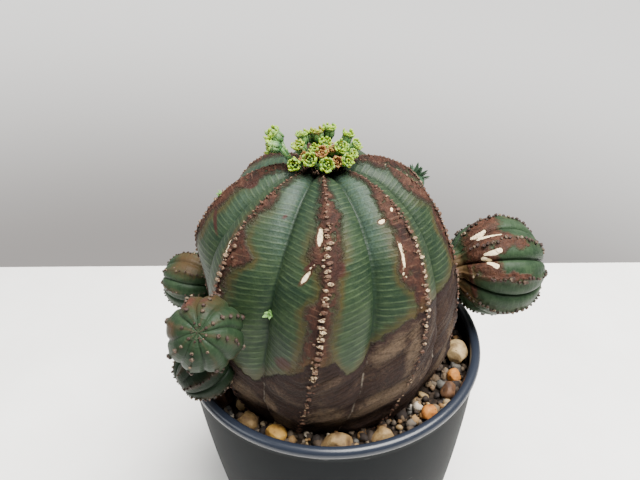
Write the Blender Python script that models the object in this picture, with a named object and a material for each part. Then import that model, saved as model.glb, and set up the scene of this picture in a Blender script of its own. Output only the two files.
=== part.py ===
"""A potted baseball plant: a ribbed green ball with four offsets and a crown of small flowers, in a dark round pot.

Sizes are in millimetres and become metres when a mesh is made. The origin is the middle of the pot's underside, +Z is up
and -Y is the front. An azimuth is counted from the front towards +X.
"""

from math import cos, pi, radians, sin, tau

import bmesh
import bpy
import numpy as np
from mathutils import Vector

MM = 0.001
GAP = 0.4

# Pot: outer wall radius falls from the rim by a straight and a curved share of the depth
POT_HEIGHT = 90.0
POT_TOP_RADIUS = 51.8
POT_TAPER = 0.03
POT_CURVE = 0.00079
POT_WALL = 2.3
POT_SEGMENTS = 36
POT_FLOOR = 3.0
DRAIN_COUNT = 6
DRAIN_RING = 25.0
DRAIN_RADIUS = 4.0
WALL_HEIGHTS = (8.0, 22.0, 40.0, 58.0, 76.0, 86.0)

# Growing mix under a bed of grit
SOIL_TOP = 76.0
GRIT_TOP = 82.0

# Main stem: a ball on a turnip-like foot, with its keels' azimuth, slope and curve down the ball in degrees. Its sides
# are hollowed below their widest: azimuth, half width, depth
STEM_AXIS = (-2.0, 0.0)
STEM_RADIUS = 46.0
STEM_MIDDLE = 109.8
STEM_ABOVE = 47.3
STEM_BELOW = 56.5
STEM_ROUNDING = 0.83
STEM_KEELS = (
    (-129, 0, 0), (-86, -6, -6), (-45, 4, 8), (-3, -12, -5), (37.5, -18.5, -8),
    (73, -17, -2), (117, 6, -2), (155, 0, 0), (193, 0, 0),
)
STEM_HOLLOWS = ((-90, 36, 6.0), (85, 35, 2.0))
GROOVE_DEPTH = 5.2
TOOTH_COUNT = 20
TOOTH_HEIGHT = 1.5
TOOTH_HALF_WIDTH = 1.1
ROOT_RINGS = ((0.84, 70.0), (0.6, 63.0), (0.36, 57.0), (0.14, 51.0))

# Offsets: centre, direction of the apex, radius across, half length, roll in degrees, reach of the neck into the stem
OFFSETS = {
    "offset_left_back": ((-51.8, 11.0, 105.4), (-0.96, 0.22, 0.10), 10.4, 10.2, 22, 16),
    "offset_left_front": ((-32.4, -44.4, 129.2), (0.06, -0.72, 0.70), 9.8, 9.2, 10, 19),
    "offset_left_low": ((-38.6, -32.6, 104.4), (-0.72, -0.52, -0.28), 9.0, 9.0, 35, 15),
    "offset_right": ((59.2, 9.2, 109.9), (0.97, 0.14, -0.10), 17.0, 16.2, 12, 24),
}
OFFSET_RIBS = 8
OFFSET_ROWS = 13
SPROUT = ((31.2, 30.6, 133.0), (0.5, 0.55, 0.65), 4.4)
SPROUT_REACH = 8.0
SPROUT_LEAVES = 6

# Flower heads: spray name, then each head's place, direction and cup radius
SPRAYS = {
    "flower_spray_left": (
        ((-15.6, 0.0, 165.1), (-0.62, -0.1, 0.75), 1.8),
        ((-16.6, -2.0, 162.3), (-0.95, -0.2, 0.3), 1.7),
        ((-9.4, -8.2, 158.9), (-0.45, -0.75, 0.45), 1.9),
    ),
    "flower_spray_middle_left": (
        ((-7.2, 1.0, 164.2), (-0.12, 0.1, 1.0), 1.9),
        ((-8.2, -3.0, 162.4), (-0.35, -0.4, 0.85), 1.8),
    ),
    "flower_spray_middle": (
        ((-2.6, 1.0, 165.0), (-0.1, 0.05, 1.0), 1.9),
        ((0.9, 2.4, 165.4), (0.12, 0.0, 1.0), 2.0),
        ((-0.6, -2.6, 162.6), (0.05, -0.45, 0.9), 2.0),
    ),
    "flower_heads_front": (
        ((-5.0, -8.2, 160.2), (-0.25, -0.75, 0.6), 2.1),
        ((-0.2, -9.5, 159.0), (0.0, -0.85, 0.5), 2.1),
        ((-1.6, -6.0, 161.4), (0.0, -0.6, 0.8), 1.9),
    ),
    "flower_spray_right": (
        ((4.0, -4.4, 162.2), (0.3, -0.6, 0.75), 2.1),
        ((6.3, 2.0, 163.4), (0.35, 0.1, 0.93), 1.9),
        ((8.6, -1.2, 161.4), (0.7, -0.15, 0.7), 1.9),
        ((5.6, -7.8, 159.4), (0.4, -0.75, 0.5), 1.9),
    ),
}
HEAD_LENGTH = 3.4
HEAD_LOBES = 6
STALK_RADIUS = 1.0
STALK_ROOT_HEIGHT = 150.0
STALK_ROOT_SPREAD = 0.55

# Large stones on the grit: colour, azimuth, distance from the pot's axis, half sizes along the ring, across it and up
STONES = {
    "stone_right_pale": ("pale", 79, 45.0, (5.4, 3.7, 4.2)),
    "stone_right_small": ("orange", 66, 45.2, (2.6, 2.3, 2.4)),
    "stone_right_brown": ("brown", 57, 45.4, (3.2, 2.5, 2.4)),
    "stone_front_right_orange": ("orange", 42, 45.0, (2.6, 2.3, 2.2)),
    "stone_front_right": ("tan", 19, 44.9, (3.7, 2.9, 3.0)),
    "stone_front_large": ("tan", 1, 44.8, (5.2, 2.9, 3.2)),
    "stone_front_left_yellow": ("yellow", -24, 44.6, (3.5, 2.8, 2.7)),
    "stone_left_tan": ("tan", -38, 44.8, (3.7, 2.7, 2.6)),
    "stone_left_brown": ("brown", -54, 45.0, (3.2, 2.5, 4.0)),
    "stone_back": ("tan", 168, 44.6, (4.2, 2.8, 2.8)),
    "stone_back_left": ("brown", -140, 44.8, (3.6, 2.6, 2.6)),
}
STONE_COLOURS = {
    "pale": (0.55, 0.47, 0.34),
    "tan": (0.40, 0.26, 0.11),
    "yellow": (0.55, 0.33, 0.06),
    "orange": (0.45, 0.19, 0.04),
    "brown": (0.20, 0.10, 0.04),
}
PEBBLE_COUNT = 32
PEBBLE_SEED = 11


def clear_scene():
    for obj in list(bpy.data.objects):
        bpy.data.objects.remove(obj)


def material(name, colour, roughness, metallic=0.0):
    made = bpy.data.materials.new(name)
    made.use_nodes = True
    shader = made.node_tree.nodes["Principled BSDF"]
    shader.inputs["Base Color"].default_value = (*colour, 1.0)
    shader.inputs["Roughness"].default_value = roughness
    shader.inputs["Metallic"].default_value = metallic
    return made


def object_from(name, points, faces, finish):
    """An object from points in millimetres, with its faces turned outwards."""
    mesh = bpy.data.meshes.new(name)
    mesh.from_pydata([tuple(p) for p in np.asarray(points) * MM], [], faces)
    shape = bmesh.new()
    shape.from_mesh(mesh)
    bmesh.ops.recalc_face_normals(shape, faces=shape.faces)
    shape.to_mesh(mesh)
    shape.free()
    mesh.materials.append(finish)
    obj = bpy.data.objects.new(name, mesh)
    bpy.context.scene.collection.objects.link(obj)
    return obj


def lofted(name, rings, finish, closed=False):
    """Skins rings of equal point counts. A closed loft joins its last ring to its first; another gets end caps."""
    count, sides = len(rings), len(rings[0])
    points = [p for ring in rings for p in ring]
    faces = []
    for i in range(count if closed else count - 1):
        low, high = i * sides, (i + 1) % count * sides
        for j in range(sides):
            k = (j + 1) % sides
            faces.append((low + j, low + k, high + k, high + j))
    if not closed:
        for ring, start in ((rings[0], 0), (rings[-1], (count - 1) * sides)):
            points.append(np.mean(ring, axis=0))
            tip = len(points) - 1
            faces += [(start + j, start + (j + 1) % sides, tip) for j in range(sides)]
    return object_from(name, points, faces, finish)


def circle(radius, height, angles):
    return np.stack([radius * np.sin(angles), -radius * np.cos(angles), np.full(len(angles), height)], -1)


def apply_boolean(obj, operation, *, other=None, collection=None):
    cut = obj.modifiers.new(operation.title(), "BOOLEAN")
    cut.operation = operation
    cut.solver = "EXACT"
    if collection:
        cut.operand_type = "COLLECTION"
        cut.collection = collection
    else:
        cut.object = other
    graph = bpy.context.evaluated_depsgraph_get()
    made = bpy.data.meshes.new_from_object(obj.evaluated_get(graph))
    obj.modifiers.clear()
    obj.data = made


def discard(parts):
    for other in list(parts.objects):
        bpy.data.objects.remove(other)
    bpy.data.collections.remove(parts)


# Pot


def pot_wall_radius(height):
    depth = POT_HEIGHT - height
    return POT_TOP_RADIUS - POT_TAPER * depth - POT_CURVE * depth * depth


def pot_inner_radius(height):
    return pot_wall_radius(height) - POT_WALL


def inside_pot(height):
    """The radius that clears the flats of the pot's many-sided inner wall."""
    return pot_inner_radius(height) * cos(pi / POT_SEGMENTS) - GAP


def make_pot(finish):
    heel = pot_wall_radius(WALL_HEIGHTS[0])
    outer = [(0.4, 0.0), (heel - 4.0, 0.0), (heel - 1.4, 1.6)]
    outer += [(pot_wall_radius(z), z) for z in WALL_HEIGHTS]
    rim_middle, rim_radius = (51.0, 88.3), 1.7
    rim = [
        (rim_middle[0] + rim_radius * cos(a), rim_middle[1] + rim_radius * sin(a))
        for a in np.radians((-25, 20, 65, 110, 155))
    ]
    inner = [(pot_inner_radius(z), z) for z in reversed(WALL_HEIGHTS)]
    floor = [(inner[-1][0] - 3.0, POT_FLOOR), (0.4, POT_FLOOR)]
    angles = np.arange(POT_SEGMENTS) * tau / POT_SEGMENTS
    pot = lofted("pot", [circle(r, z, angles) for r, z in outer + rim + inner + floor], finish)
    drains = bpy.data.collections.new("drain_holes")
    bpy.context.scene.collection.children.link(drains)
    for i in range(DRAIN_COUNT):
        a = tau * i / DRAIN_COUNT
        place = np.array([DRAIN_RING * sin(a), -DRAIN_RING * cos(a), 0.0])
        turn = np.arange(12) * tau / 12
        drain = lofted(f"drain_{i}", [circle(DRAIN_RADIUS, z, turn) + place for z in (-1.0, POT_FLOOR + 1.0)], finish)
        bpy.context.scene.collection.objects.unlink(drain)
        drains.objects.link(drain)
    apply_boolean(pot, "DIFFERENCE", collection=drains)
    discard(drains)
    pot.data.shade_smooth()
    pot.data.set_sharp_from_angle(angle=radians(40))


# Ribbed balls: the main stem and its offsets


def rib_columns(tooth_share, flank_shares):
    """Places across one rib, from -1 to 1, with the keel at 0: the keel, the feet of its teeth, the flanks, one groove."""
    right = [tooth_share, *flank_shares]
    return [-u for u in reversed(right)] + [0.0] + right + [1.0]


def rib_relief(share, depth):
    """How far the surface lies under the keel: a nearly straight flank that falls away into a narrow groove."""
    s = abs(share)
    return -depth * (0.58 * s + 0.42 * s**4)


def stem_hollow(azimuth, phi):
    """How far a flatter side of the stem lies inside the ball."""
    below = min(max((phi - 0.95) / 0.5, 0.0), 1.0)
    below = below * below * (3 - 2 * below)
    total = 0.0
    for middle, width, depth in STEM_HOLLOWS:
        away = (azimuth - radians(middle) + pi) % tau - pi
        total += depth * below * float(np.exp(-((away / radians(width)) ** 2)))
    return total


def stem_ring(phi, grow=0.0, tooth=0.0):
    """One ring round the main stem at an angle from its top, as points with the keel teeth raised by tooth."""
    above = phi <= pi / 2
    rise = STEM_ABOVE if above else STEM_BELOW
    power = STEM_ROUNDING if above else 1.0
    radius = STEM_RADIUS * sin(phi) ** power
    height = STEM_MIDDLE + rise * cos(phi)
    across = STEM_RADIUS * power * sin(phi) ** (power - 1) * cos(phi)
    fall = rise * sin(phi)
    length = np.hypot(across, fall)
    out, up = fall / length, across / length
    turn = phi - 1.4
    keels = [radians(a + b * turn + c * turn * turn) for a, b, c in STEM_KEELS]
    depth = GROOVE_DEPTH * min(1.0, 0.35 + phi) * (1.0 if above else 1.0 - 0.25 * (phi - pi / 2))
    points = []
    for i, keel in enumerate(keels):
        before = keels[i - 1] - (tau if i == 0 else 0)
        after = keels[(i + 1) % len(keels)] + (tau if i == len(keels) - 1 else 0)
        half = (after - before) / 4
        tooth_share = min(TOOTH_HALF_WIDTH / (half * max(radius, 6.0)), 0.3)
        for share in rib_columns(tooth_share, (0.6,)):
            side = (keel - before) / 2 if share < 0 else (after - keel) / 2
            azimuth = keel + share * side
            lift = rib_relief(share, depth) - stem_hollow(azimuth, phi) + grow + (tooth if share == 0 else 0)
            r, z = radius + out * lift, height + up * lift
            x = STEM_AXIS[0] + r * sin(azimuth)
            y = STEM_AXIS[1] - r * cos(azimuth)
            points.append((x, y, z))
    return np.array(points)


def stem_phi_at(height):
    """The angle from the stem's top at which its surface passes a height below its middle."""
    return float(np.arccos((height - STEM_MIDDLE) / STEM_BELOW))


def root_rings(widen=0.0, deepen=0.0):
    """The buried foot, which narrows to a blunt tip inside the growing mix."""
    top = stem_ring(stem_phi_at(SOIL_TOP))
    middle = np.array([*np.mean(top[:, :2], axis=0), 0.0])
    rings = []
    for share, height in ROOT_RINGS:
        ring = middle + (top - middle) * share
        reach = np.linalg.norm((ring - middle)[:, :2], axis=1)[:, None]
        ring[:, :2] += (ring - middle)[:, :2] / reach * widen
        ring[:, 2] = height - deepen
        rings.append(ring)
    return rings


def stem_rings(grow=0.0, toothed=True):
    """The whole stem. Without teeth, each keel is one unbroken ridge at the height of their tips."""
    first, last = 0.16, stem_phi_at(GRIT_TOP + 2.0)
    rows = 2 * TOOTH_COUNT
    rings = []
    for i in range(rows + 1):
        phi = first + (last - first) * i / rows
        raised = TOOTH_HEIGHT * (0.35 + 0.65 * min(1.0, phi)) if i % 2 or not toothed else 0.0
        rings.append(stem_ring(phi, grow, raised))
    rings += [stem_ring(stem_phi_at(z), grow) for z in (GRIT_TOP, SOIL_TOP)]
    return rings + root_rings(widen=grow)


def make_stem(finish):
    stem = lofted("main_stem", stem_rings(), finish)
    stem.data.shade_smooth()
    cutter = lofted("stem_clearance", stem_rings(grow=GAP, toothed=False), finish)
    cutter.hide_render = True
    cutter.display_type = "WIRE"
    return cutter


def frame_along(direction, roll):
    """Three axes with the last along direction, turned about it by roll degrees."""
    along = Vector(direction).normalized()
    turn = along.to_track_quat("Z", "Y").to_matrix()
    a, b = turn.col[0], turn.col[1]
    c, s = cos(radians(roll)), sin(radians(roll))
    return np.array([a * c + b * s, b * c - a * s, along])


def towards_axis(centre, reach):
    """The point that lies reach nearer to the stem's axis than centre does."""
    centre = np.array(centre)
    aim = np.array([STEM_AXIS[0] - centre[0], STEM_AXIS[1] - centre[1], 0.0])
    return centre + aim / np.linalg.norm(aim) * reach


def make_offset(name, centre, direction, radius, half_length, roll, reach, finish, cutter):
    """A small ribbed ball with its apex along direction, and a neck that is cut where it grows out of the stem."""
    axes = frame_along(direction, roll)
    rings = []
    for i in range(OFFSET_ROWS):
        phi = 0.14 + (pi - 0.5 - 0.14) * i / (OFFSET_ROWS - 1)
        ring = []
        for rib in range(OFFSET_RIBS):
            for share in (-0.45, 0.0, 0.45, 1.0):
                azimuth = (rib + share / 2) * tau / OFFSET_RIBS
                tooth = 0.07 * radius if share == 0 and i % 2 else 0.0
                lift = rib_relief(share, 0.15 * radius * min(1.0, 0.3 + phi)) + tooth
                across, along = (radius + lift) * sin(phi), (half_length + lift) * cos(phi)
                ring.append((across * sin(azimuth), across * cos(azimuth), along))
        rings.append(np.array(ring) @ axes + np.array(centre))
    angles = np.arange(4 * OFFSET_RIBS) * tau / (4 * OFFSET_RIBS) - tau / OFFSET_RIBS * 0.225
    loop = np.stack([np.sin(angles), np.cos(angles), np.zeros(len(angles))], -1) @ axes
    neck = [
        0.34 * radius * loop - 0.98 * half_length * axes[2] + np.array(centre),
        0.3 * radius * loop + towards_axis(centre, reach),
    ]
    offset = lofted(name, rings + neck, finish)
    apply_boolean(offset, "DIFFERENCE", other=cutter)
    offset.data.shade_smooth()


# Sprout: a tiny offset behind the crown with a tuft of narrow leaves


def leaf_spike(base, tip, half_width):
    """A narrow three-sided leaf from base to tip, as a closed tapering solid."""
    base, tip = np.array(base), np.array(tip)
    axes = frame_along(tip - base, 0)
    middle = base + (tip - base) * 0.55
    rings = []
    for place, size in ((base, 0.8), (middle, 1.0), (tip, 0.25)):
        ring = [(cos(a) * half_width * size, sin(a) * half_width * size * 0.6, 0) for a in (0, tau / 4, tau / 2, 3 * tau / 4)]
        rings.append(np.array(ring) @ axes + place)
    return rings


def make_sprout(finish, cutter):
    centre, direction, radius = SPROUT
    axes = frame_along(direction, 0)
    sides = 10
    rings = []
    for i in range(7):
        phi = 0.3 + 2.3 * i / 6
        ring = [
            (radius * (1 - 0.14 * (j % 2)) * sin(phi) * cos(a), radius * (1 - 0.14 * (j % 2)) * sin(phi) * sin(a), radius * cos(phi))
            for j, a in enumerate(np.arange(sides) * tau / sides)
        ]
        rings.append(np.array(ring) @ axes + np.array(centre))
    rings.append((rings[-1] - np.mean(rings[-1], axis=0)) * 0.8 + towards_axis(centre, SPROUT_REACH))
    sprout = lofted("offset_back_sprout", rings, finish)
    parts = bpy.data.collections.new("sprout_leaves")
    bpy.context.scene.collection.children.link(parts)
    for i in range(SPROUT_LEAVES):
        a = tau * i / SPROUT_LEAVES + 0.4
        spread = 0.75 + 0.25 * (i % 2)
        aim = axes[2] + spread * (axes[0] * cos(a) + axes[1] * sin(a))
        aim /= np.linalg.norm(aim)
        start = np.array(centre) + aim * radius * 0.55
        leaf = lofted(f"leaf_{i}", leaf_spike(start, start + aim * 6.4, 0.75), finish)
        bpy.context.scene.collection.objects.unlink(leaf)
        parts.objects.link(leaf)
    join_collection(sprout, parts)
    apply_boolean(sprout, "DIFFERENCE", other=cutter)


def join_collection(obj, parts):
    """Unites obj with each solid of a collection, and removes them."""
    apply_boolean(obj, "UNION", collection=parts)
    discard(parts)


# Flowers: small cups on short stalks at the crown


def cup_rings(place, direction, radius):
    """A flower cup: a narrow foot that opens into a lobed mouth with a raised middle."""
    axes = frame_along(direction, 0)
    angles = np.arange(2 * HEAD_LOBES) * tau / (2 * HEAD_LOBES)
    lobed = 1.0 + 0.16 * (-1.0) ** np.arange(2 * HEAD_LOBES)
    rings = []
    for size, along, wave in ((0.42, -1.0, 0), (0.8, -0.45, 0), (1.0, 0.0, 1), (0.4, 0.16, 0)):
        reach = radius * size * (lobed if wave else 1.0)
        ring = np.stack([reach * np.cos(angles), reach * np.sin(angles), np.full(len(angles), along * HEAD_LENGTH)], -1)
        rings.append(ring @ axes + np.array(place))
    return rings


def stalk_rings(start, end, radius):
    axes = frame_along(np.array(end) - np.array(start), 0)
    angles = np.arange(6) * tau / 6
    rings = []
    for place in (start, end):
        ring = np.stack([radius * np.cos(angles), radius * np.sin(angles), np.zeros(6)], -1)
        rings.append(ring @ axes + np.array(place))
    return rings


def make_spray(name, heads, finish, cutter):
    """The heads of one spray share a stalk that rises from the crown."""
    middle = np.mean([place for place, _, _ in heads], axis=0)
    root = np.array([middle[0] * STALK_ROOT_SPREAD, middle[1] * STALK_ROOT_SPREAD, STALK_ROOT_HEIGHT])
    fork = root + (middle - root) * 0.72
    parts = bpy.data.collections.new(name)
    bpy.context.scene.collection.children.link(parts)
    for i, (place, direction, radius) in enumerate(heads):
        aim = np.array(direction) / np.linalg.norm(direction)
        foot = np.array(place) - aim * HEAD_LENGTH * 0.9
        for label, rings in (
            ("cup", cup_rings(place, direction, radius)),
            ("branch", stalk_rings(fork, foot, STALK_RADIUS * 0.8)),
        ):
            piece = lofted(f"{name}_{label}_{i}", rings, finish)
            bpy.context.scene.collection.objects.unlink(piece)
            parts.objects.link(piece)
    spray = lofted(name, stalk_rings(root, fork + (fork - root) * 0.05, STALK_RADIUS), finish)
    join_collection(spray, parts)
    apply_boolean(spray, "DIFFERENCE", other=cutter)


# Growing mix, grit and stones


def collar(height, clear):
    """The stem's outline at a height, widened by clear: the edge of the hole that it stands in."""
    ring = stem_ring(stem_phi_at(height), clear)
    ring[:, 2] = height
    return ring


def outward_circle(ring, radius, height):
    """A circle about the pot's axis with its points at the azimuths of a ring's points."""
    angles = np.arctan2(ring[:, 0], -ring[:, 1])
    return circle(radius, height, angles)


def make_soil(finish):
    edge = collar(SOIL_TOP, 2 * GAP)
    heights = [POT_FLOOR + GAP] + [z for z in WALL_HEIGHTS if z <= SOIL_TOP]
    base_radius = inside_pot(WALL_HEIGHTS[0]) - 3.4
    outer = [outward_circle(edge, base_radius if z < WALL_HEIGHTS[0] else inside_pot(z), z) for z in heights]
    hole = [edge] + root_rings(widen=2 * GAP, deepen=GAP)
    lofted("growing_mix", outer + hole, finish)


def stone_mesh(name, centre, sizes, turn, seed, finish, subdivisions=2):
    """A worn stone: a low round body with seeded dents, flat underneath."""
    random = np.random.default_rng(seed)
    shape = bmesh.new()
    bmesh.ops.create_icosphere(shape, subdivisions=subdivisions, radius=1.0)
    points = np.array([v.co[:] for v in shape.verts])
    faces = [tuple(v.index for v in f.verts) for f in shape.faces]
    shape.free()
    pull = random.normal(size=(5, 3))
    pull /= np.linalg.norm(pull, axis=1)[:, None]
    for direction in pull:
        reach = points @ direction
        points -= np.outer(np.maximum(reach - 0.72, 0), direction)
    points[:, 2] = np.maximum(points[:, 2], -0.55)
    points = points * np.array(sizes)
    c, s = cos(turn), sin(turn)
    points = points @ np.array([[c, s, 0], [-s, c, 0], [0, 0, 1]])
    return object_from(name, points + np.array(centre), faces, finish)


def make_stones(cutter):
    finishes = {colour: material(f"stone_{colour}", value, 0.8) for colour, value in STONE_COLOURS.items()}
    for seed, (name, (colour, azimuth, distance, sizes)) in enumerate(STONES.items()):
        a = radians(azimuth)
        place = (distance * sin(a), -distance * cos(a), GRIT_TOP + 0.3 + 0.55 * sizes[2])
        stone = stone_mesh(name, place, sizes, a, seed, finishes[colour])
        apply_boolean(stone, "DIFFERENCE", other=cutter)
        stone.data.shade_smooth()


def make_grit(finish):
    """The grit bed, a ring round the stem, with its pebbles joined on."""
    low, high = SOIL_TOP + 0.3, GRIT_TOP
    inner = [collar(z, 2 * GAP) for z in (high, low)]
    outer = [outward_circle(inner[0], inside_pot(SOIL_TOP), low), outward_circle(inner[0], inside_pot(high), high)]
    grit = lofted("grit_bed", [outer[0], outer[1], inner[0], inner[1]], finish, closed=True)
    random = np.random.default_rng(PEBBLE_SEED)
    edge = collar(GRIT_TOP + 3.0, GAP)
    edge_angle = np.arctan2(edge[:, 0], -edge[:, 1])
    edge_reach = np.hypot(edge[:, 0], edge[:, 1])
    order = np.argsort(edge_angle)
    parts = bpy.data.collections.new("pebbles")
    bpy.context.scene.collection.children.link(parts)
    placed = [(d * sin(radians(a)), -d * cos(radians(a)), max(s) * 0.95) for _, a, d, s in STONES.values()]
    tries = 0
    while len(parts.objects) < PEBBLE_COUNT and tries < 6000:
        tries += 1
        azimuth, size = random.uniform(-pi, pi), random.uniform(1.1, 2.3)
        nearest = np.interp(azimuth, edge_angle[order], edge_reach[order], period=tau)
        inner_limit, outer_limit = nearest + size + 0.3, inside_pot(GRIT_TOP) - size - 0.2
        if inner_limit > outer_limit:
            continue
        distance = random.uniform(inner_limit, outer_limit)
        x, y = distance * sin(azimuth), -distance * cos(azimuth)
        if any(np.hypot(x - px, y - py) < reach + size + 0.35 for px, py, reach in placed):
            continue
        placed.append((x, y, size))
        name = f"pebble_{len(parts.objects)}"
        sizes = (size, size * random.uniform(0.8, 1.0), size * random.uniform(0.7, 0.95))
        pebble = stone_mesh(name, (x, y, GRIT_TOP + 0.15 * size), sizes, azimuth, 100 + tries, finish, 1)
        bpy.context.scene.collection.objects.unlink(pebble)
        parts.objects.link(pebble)
    join_collection(grit, parts)


def main():
    clear_scene()
    pot_plastic = material("pot_plastic", (0.045, 0.05, 0.052), 0.45)
    mix = material("growing_mix", (0.06, 0.045, 0.035), 0.95)
    grit = material("grit", (0.16, 0.13, 0.10), 0.9)
    skin = material("stem_skin", (0.07, 0.12, 0.06), 0.5)
    offset_skin = material("offset_skin", (0.07, 0.13, 0.06), 0.5)
    flower = material("flower", (0.38, 0.50, 0.10), 0.5)
    make_pot(pot_plastic)
    make_soil(mix)
    make_grit(grit)
    cutter = make_stem(skin)
    make_stones(cutter)
    for name, sizes in OFFSETS.items():
        make_offset(name, *sizes, offset_skin, cutter)
    make_sprout(offset_skin, cutter)
    for name, heads in SPRAYS.items():
        make_spray(name, heads, flower, cutter)


main()
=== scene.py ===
"""A potted baseball plant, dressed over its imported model.

The pot comes first, then the stem, grit, stones, offsets, flowers and sprouts, and the room last.
"""

from math import cos, pi, radians, sin, tau

import bpy
import numpy as np
from mathutils import Matrix


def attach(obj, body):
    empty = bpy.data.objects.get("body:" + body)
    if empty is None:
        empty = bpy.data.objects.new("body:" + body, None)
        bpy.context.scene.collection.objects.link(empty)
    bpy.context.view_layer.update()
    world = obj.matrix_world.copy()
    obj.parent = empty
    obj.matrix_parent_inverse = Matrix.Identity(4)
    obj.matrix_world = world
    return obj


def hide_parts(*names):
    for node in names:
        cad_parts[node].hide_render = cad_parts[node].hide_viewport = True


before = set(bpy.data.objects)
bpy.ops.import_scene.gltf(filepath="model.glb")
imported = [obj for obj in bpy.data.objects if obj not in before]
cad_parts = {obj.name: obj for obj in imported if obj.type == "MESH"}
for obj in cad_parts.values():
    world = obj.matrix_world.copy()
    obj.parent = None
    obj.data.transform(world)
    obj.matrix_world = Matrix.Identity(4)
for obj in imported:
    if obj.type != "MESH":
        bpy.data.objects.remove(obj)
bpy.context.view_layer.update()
MM = 0.001


# Pot
# A thin tub of charcoal plastic with a rolled rim, moulded in one piece. Its wall is matt and faintly
# grained, its rim is polished by handling and a little bluish, its colour painted lighter for the sheen on
# it, and six drain holes ring a solid middle.

POT_HEIGHT = 90.0
POT_TOP_RADIUS = 51.8
POT_TAPER = 0.03
POT_CURVE = 0.00079
POT_WALL = 2.3
POT_FLOOR = 3.0
POT_HEEL = 4.0
HEEL_TOP = 8.0
WALL_TOP = 86.2
POT_SIDES = 160
RIM_MIDDLE = (51.0, 88.3)
RIM_RADIUS = 1.72
DRAIN_COUNT = 6
DRAIN_RING = 25.0
DRAIN_RADIUS = 4.0
DRAIN_SIDES = 32
CHARCOAL = (0.0030, 0.0042, 0.0052)
CHARCOAL_WORN = (0.0086, 0.0106, 0.0122)
# The rim's bluish tint, painted lighter than the wall for its sheen
RIM_SHEEN_BLUE = (0.0120, 0.0155, 0.0245)
SCRATCH = (0.30, 0.30, 0.29)


class Value:
    """A number, colour or vector in one material. Sums and products of numbers add Math nodes."""

    def __init__(self, finish, socket):
        self.finish, self.socket = finish, socket

    def join(self, operation, other, swap=False):
        pair = (other, self) if swap else (self, other)
        return self.finish.node("ShaderNodeMath", {"operation": operation}, dict(enumerate(pair)))

    def __add__(self, other):
        return self.join("ADD", other)

    def __sub__(self, other):
        return self.join("SUBTRACT", other)

    def __rsub__(self, other):
        return self.join("SUBTRACT", other, swap=True)

    def __mul__(self, other):
        return self.join("MULTIPLY", other)

    def __abs__(self):
        return self.join("ABSOLUTE", 0.0)

    __radd__ = __add__
    __rmul__ = __mul__

    def most(self, other):
        return self.join("MAXIMUM", other)

    def remainder(self, other):
        return self.join("FLOORED_MODULO", other)

    def step(self, low, high):
        """0 below low and 1 above high, with a soft step between. A falling step has low above high."""
        rising = low < high
        ends = {"Value": self, "From Min": min(low, high), "From Max": max(low, high)}
        ends.update({"To Min": 0.0 if rising else 1.0, "To Max": 1.0 if rising else 0.0})
        return self.finish.node("ShaderNodeMapRange", {"interpolation_type": "SMOOTHSTEP"}, ends)


class Finish:
    """One material. Each method adds nodes to it and gives their result as a Value."""

    def __init__(self, name, **constants):
        self.material = bpy.data.materials.new(name)
        self.material.use_nodes = True
        self.tree = self.material.node_tree
        self.shader = self.tree.nodes["Principled BSDF"]
        for socket, value in constants.items():
            self.shader.inputs[socket.replace("_", " ")].default_value = value

    def feed(self, socket, value):
        if isinstance(value, Value):
            self.tree.links.new(value.socket, socket)
        else:
            socket.default_value = (*value, 1.0) if socket.type == "RGBA" else value

    def node(self, kind, settings=None, sockets=None, out=0):
        made = self.tree.nodes.new(kind)
        for key, value in (settings or {}).items():
            setattr(made, key, value)
        for key, value in (sockets or {}).items():
            self.feed(made.inputs[key], value)
        return Value(self, made.outputs[out])

    def place(self, stretch=(1.0, 1.0, 1.0)):
        """The point in the object's own metres, stretched along each axis."""
        point = self.node("ShaderNodeTexCoord", out=3)
        return self.node("ShaderNodeMapping", None, {"Vector": point, "Scale": stretch})

    def place_by(self, stretch, height):
        """The stretched place with a height of its own, so that noise follows where that height is level."""
        upward = self.node("ShaderNodeCombineXYZ", None, {2: height})
        return self.node("ShaderNodeVectorMath", {"operation": "ADD"}, {0: self.place(stretch), 1: upward})

    def noise(self, size, detail=3.0, rough=0.55, at=None):
        """Soft noise from 0 to 1 with lumps of a size in millimetres."""
        sockets = {"Vector": at or self.place(), "Scale": 1 / (size * MM)}
        sockets.update({"Detail": detail, "Roughness": rough})
        return self.node("ShaderNodeTexNoise", None, sockets)

    def cells(self, size, at=None, out="DISTANCE_TO_EDGE"):
        """Distance to the edge, or to the middle, of random cells of a size in millimetres."""
        sockets = {"Vector": at or self.place(), "Scale": 1 / (size * MM)}
        return self.node("ShaderNodeTexVoronoi", {"feature": out}, sockets)

    def mark(self, name):
        """A number stored on the mesh."""
        return self.node("ShaderNodeAttribute", {"attribute_name": name}, out=2)

    def blend(self, share, first, second):
        """The first colour turning to the second as share goes from 0 to 1."""
        return self.node("ShaderNodeMix", {"data_type": "RGBA"}, {0: share, 6: first, 7: second}, out=2)

    def coats(self, colour, *coats):
        """A colour under coats laid one on the other, each given as its share and its colour."""
        for share, coat in coats:
            colour = self.blend(share, colour, coat)
        return colour

    def finish(self, colour, roughness, height=None, depth=0.3, strength=1.0):
        """Feeds the shader. height is a relief from 0 to 1, and depth its depth in millimetres."""
        self.feed(self.shader.inputs["Base Color"], colour)
        self.feed(self.shader.inputs["Roughness"], roughness)
        if height is not None:
            relief = {"Height": height, "Distance": depth * MM, "Strength": strength}
            self.feed(self.shader.inputs["Normal"], self.node("ShaderNodeBump", None, relief))
        return self.material


def mesh_from(name, points, faces):
    """A mesh from points in millimetres."""
    mesh = bpy.data.meshes.new(name)
    mesh.from_pydata((np.asarray(points, float).reshape(-1, 3) * MM).tolist(), [], faces)
    return mesh


def add_object(name, data):
    made = bpy.data.objects.new(name, data)
    bpy.context.scene.collection.objects.link(made)
    return made


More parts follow.
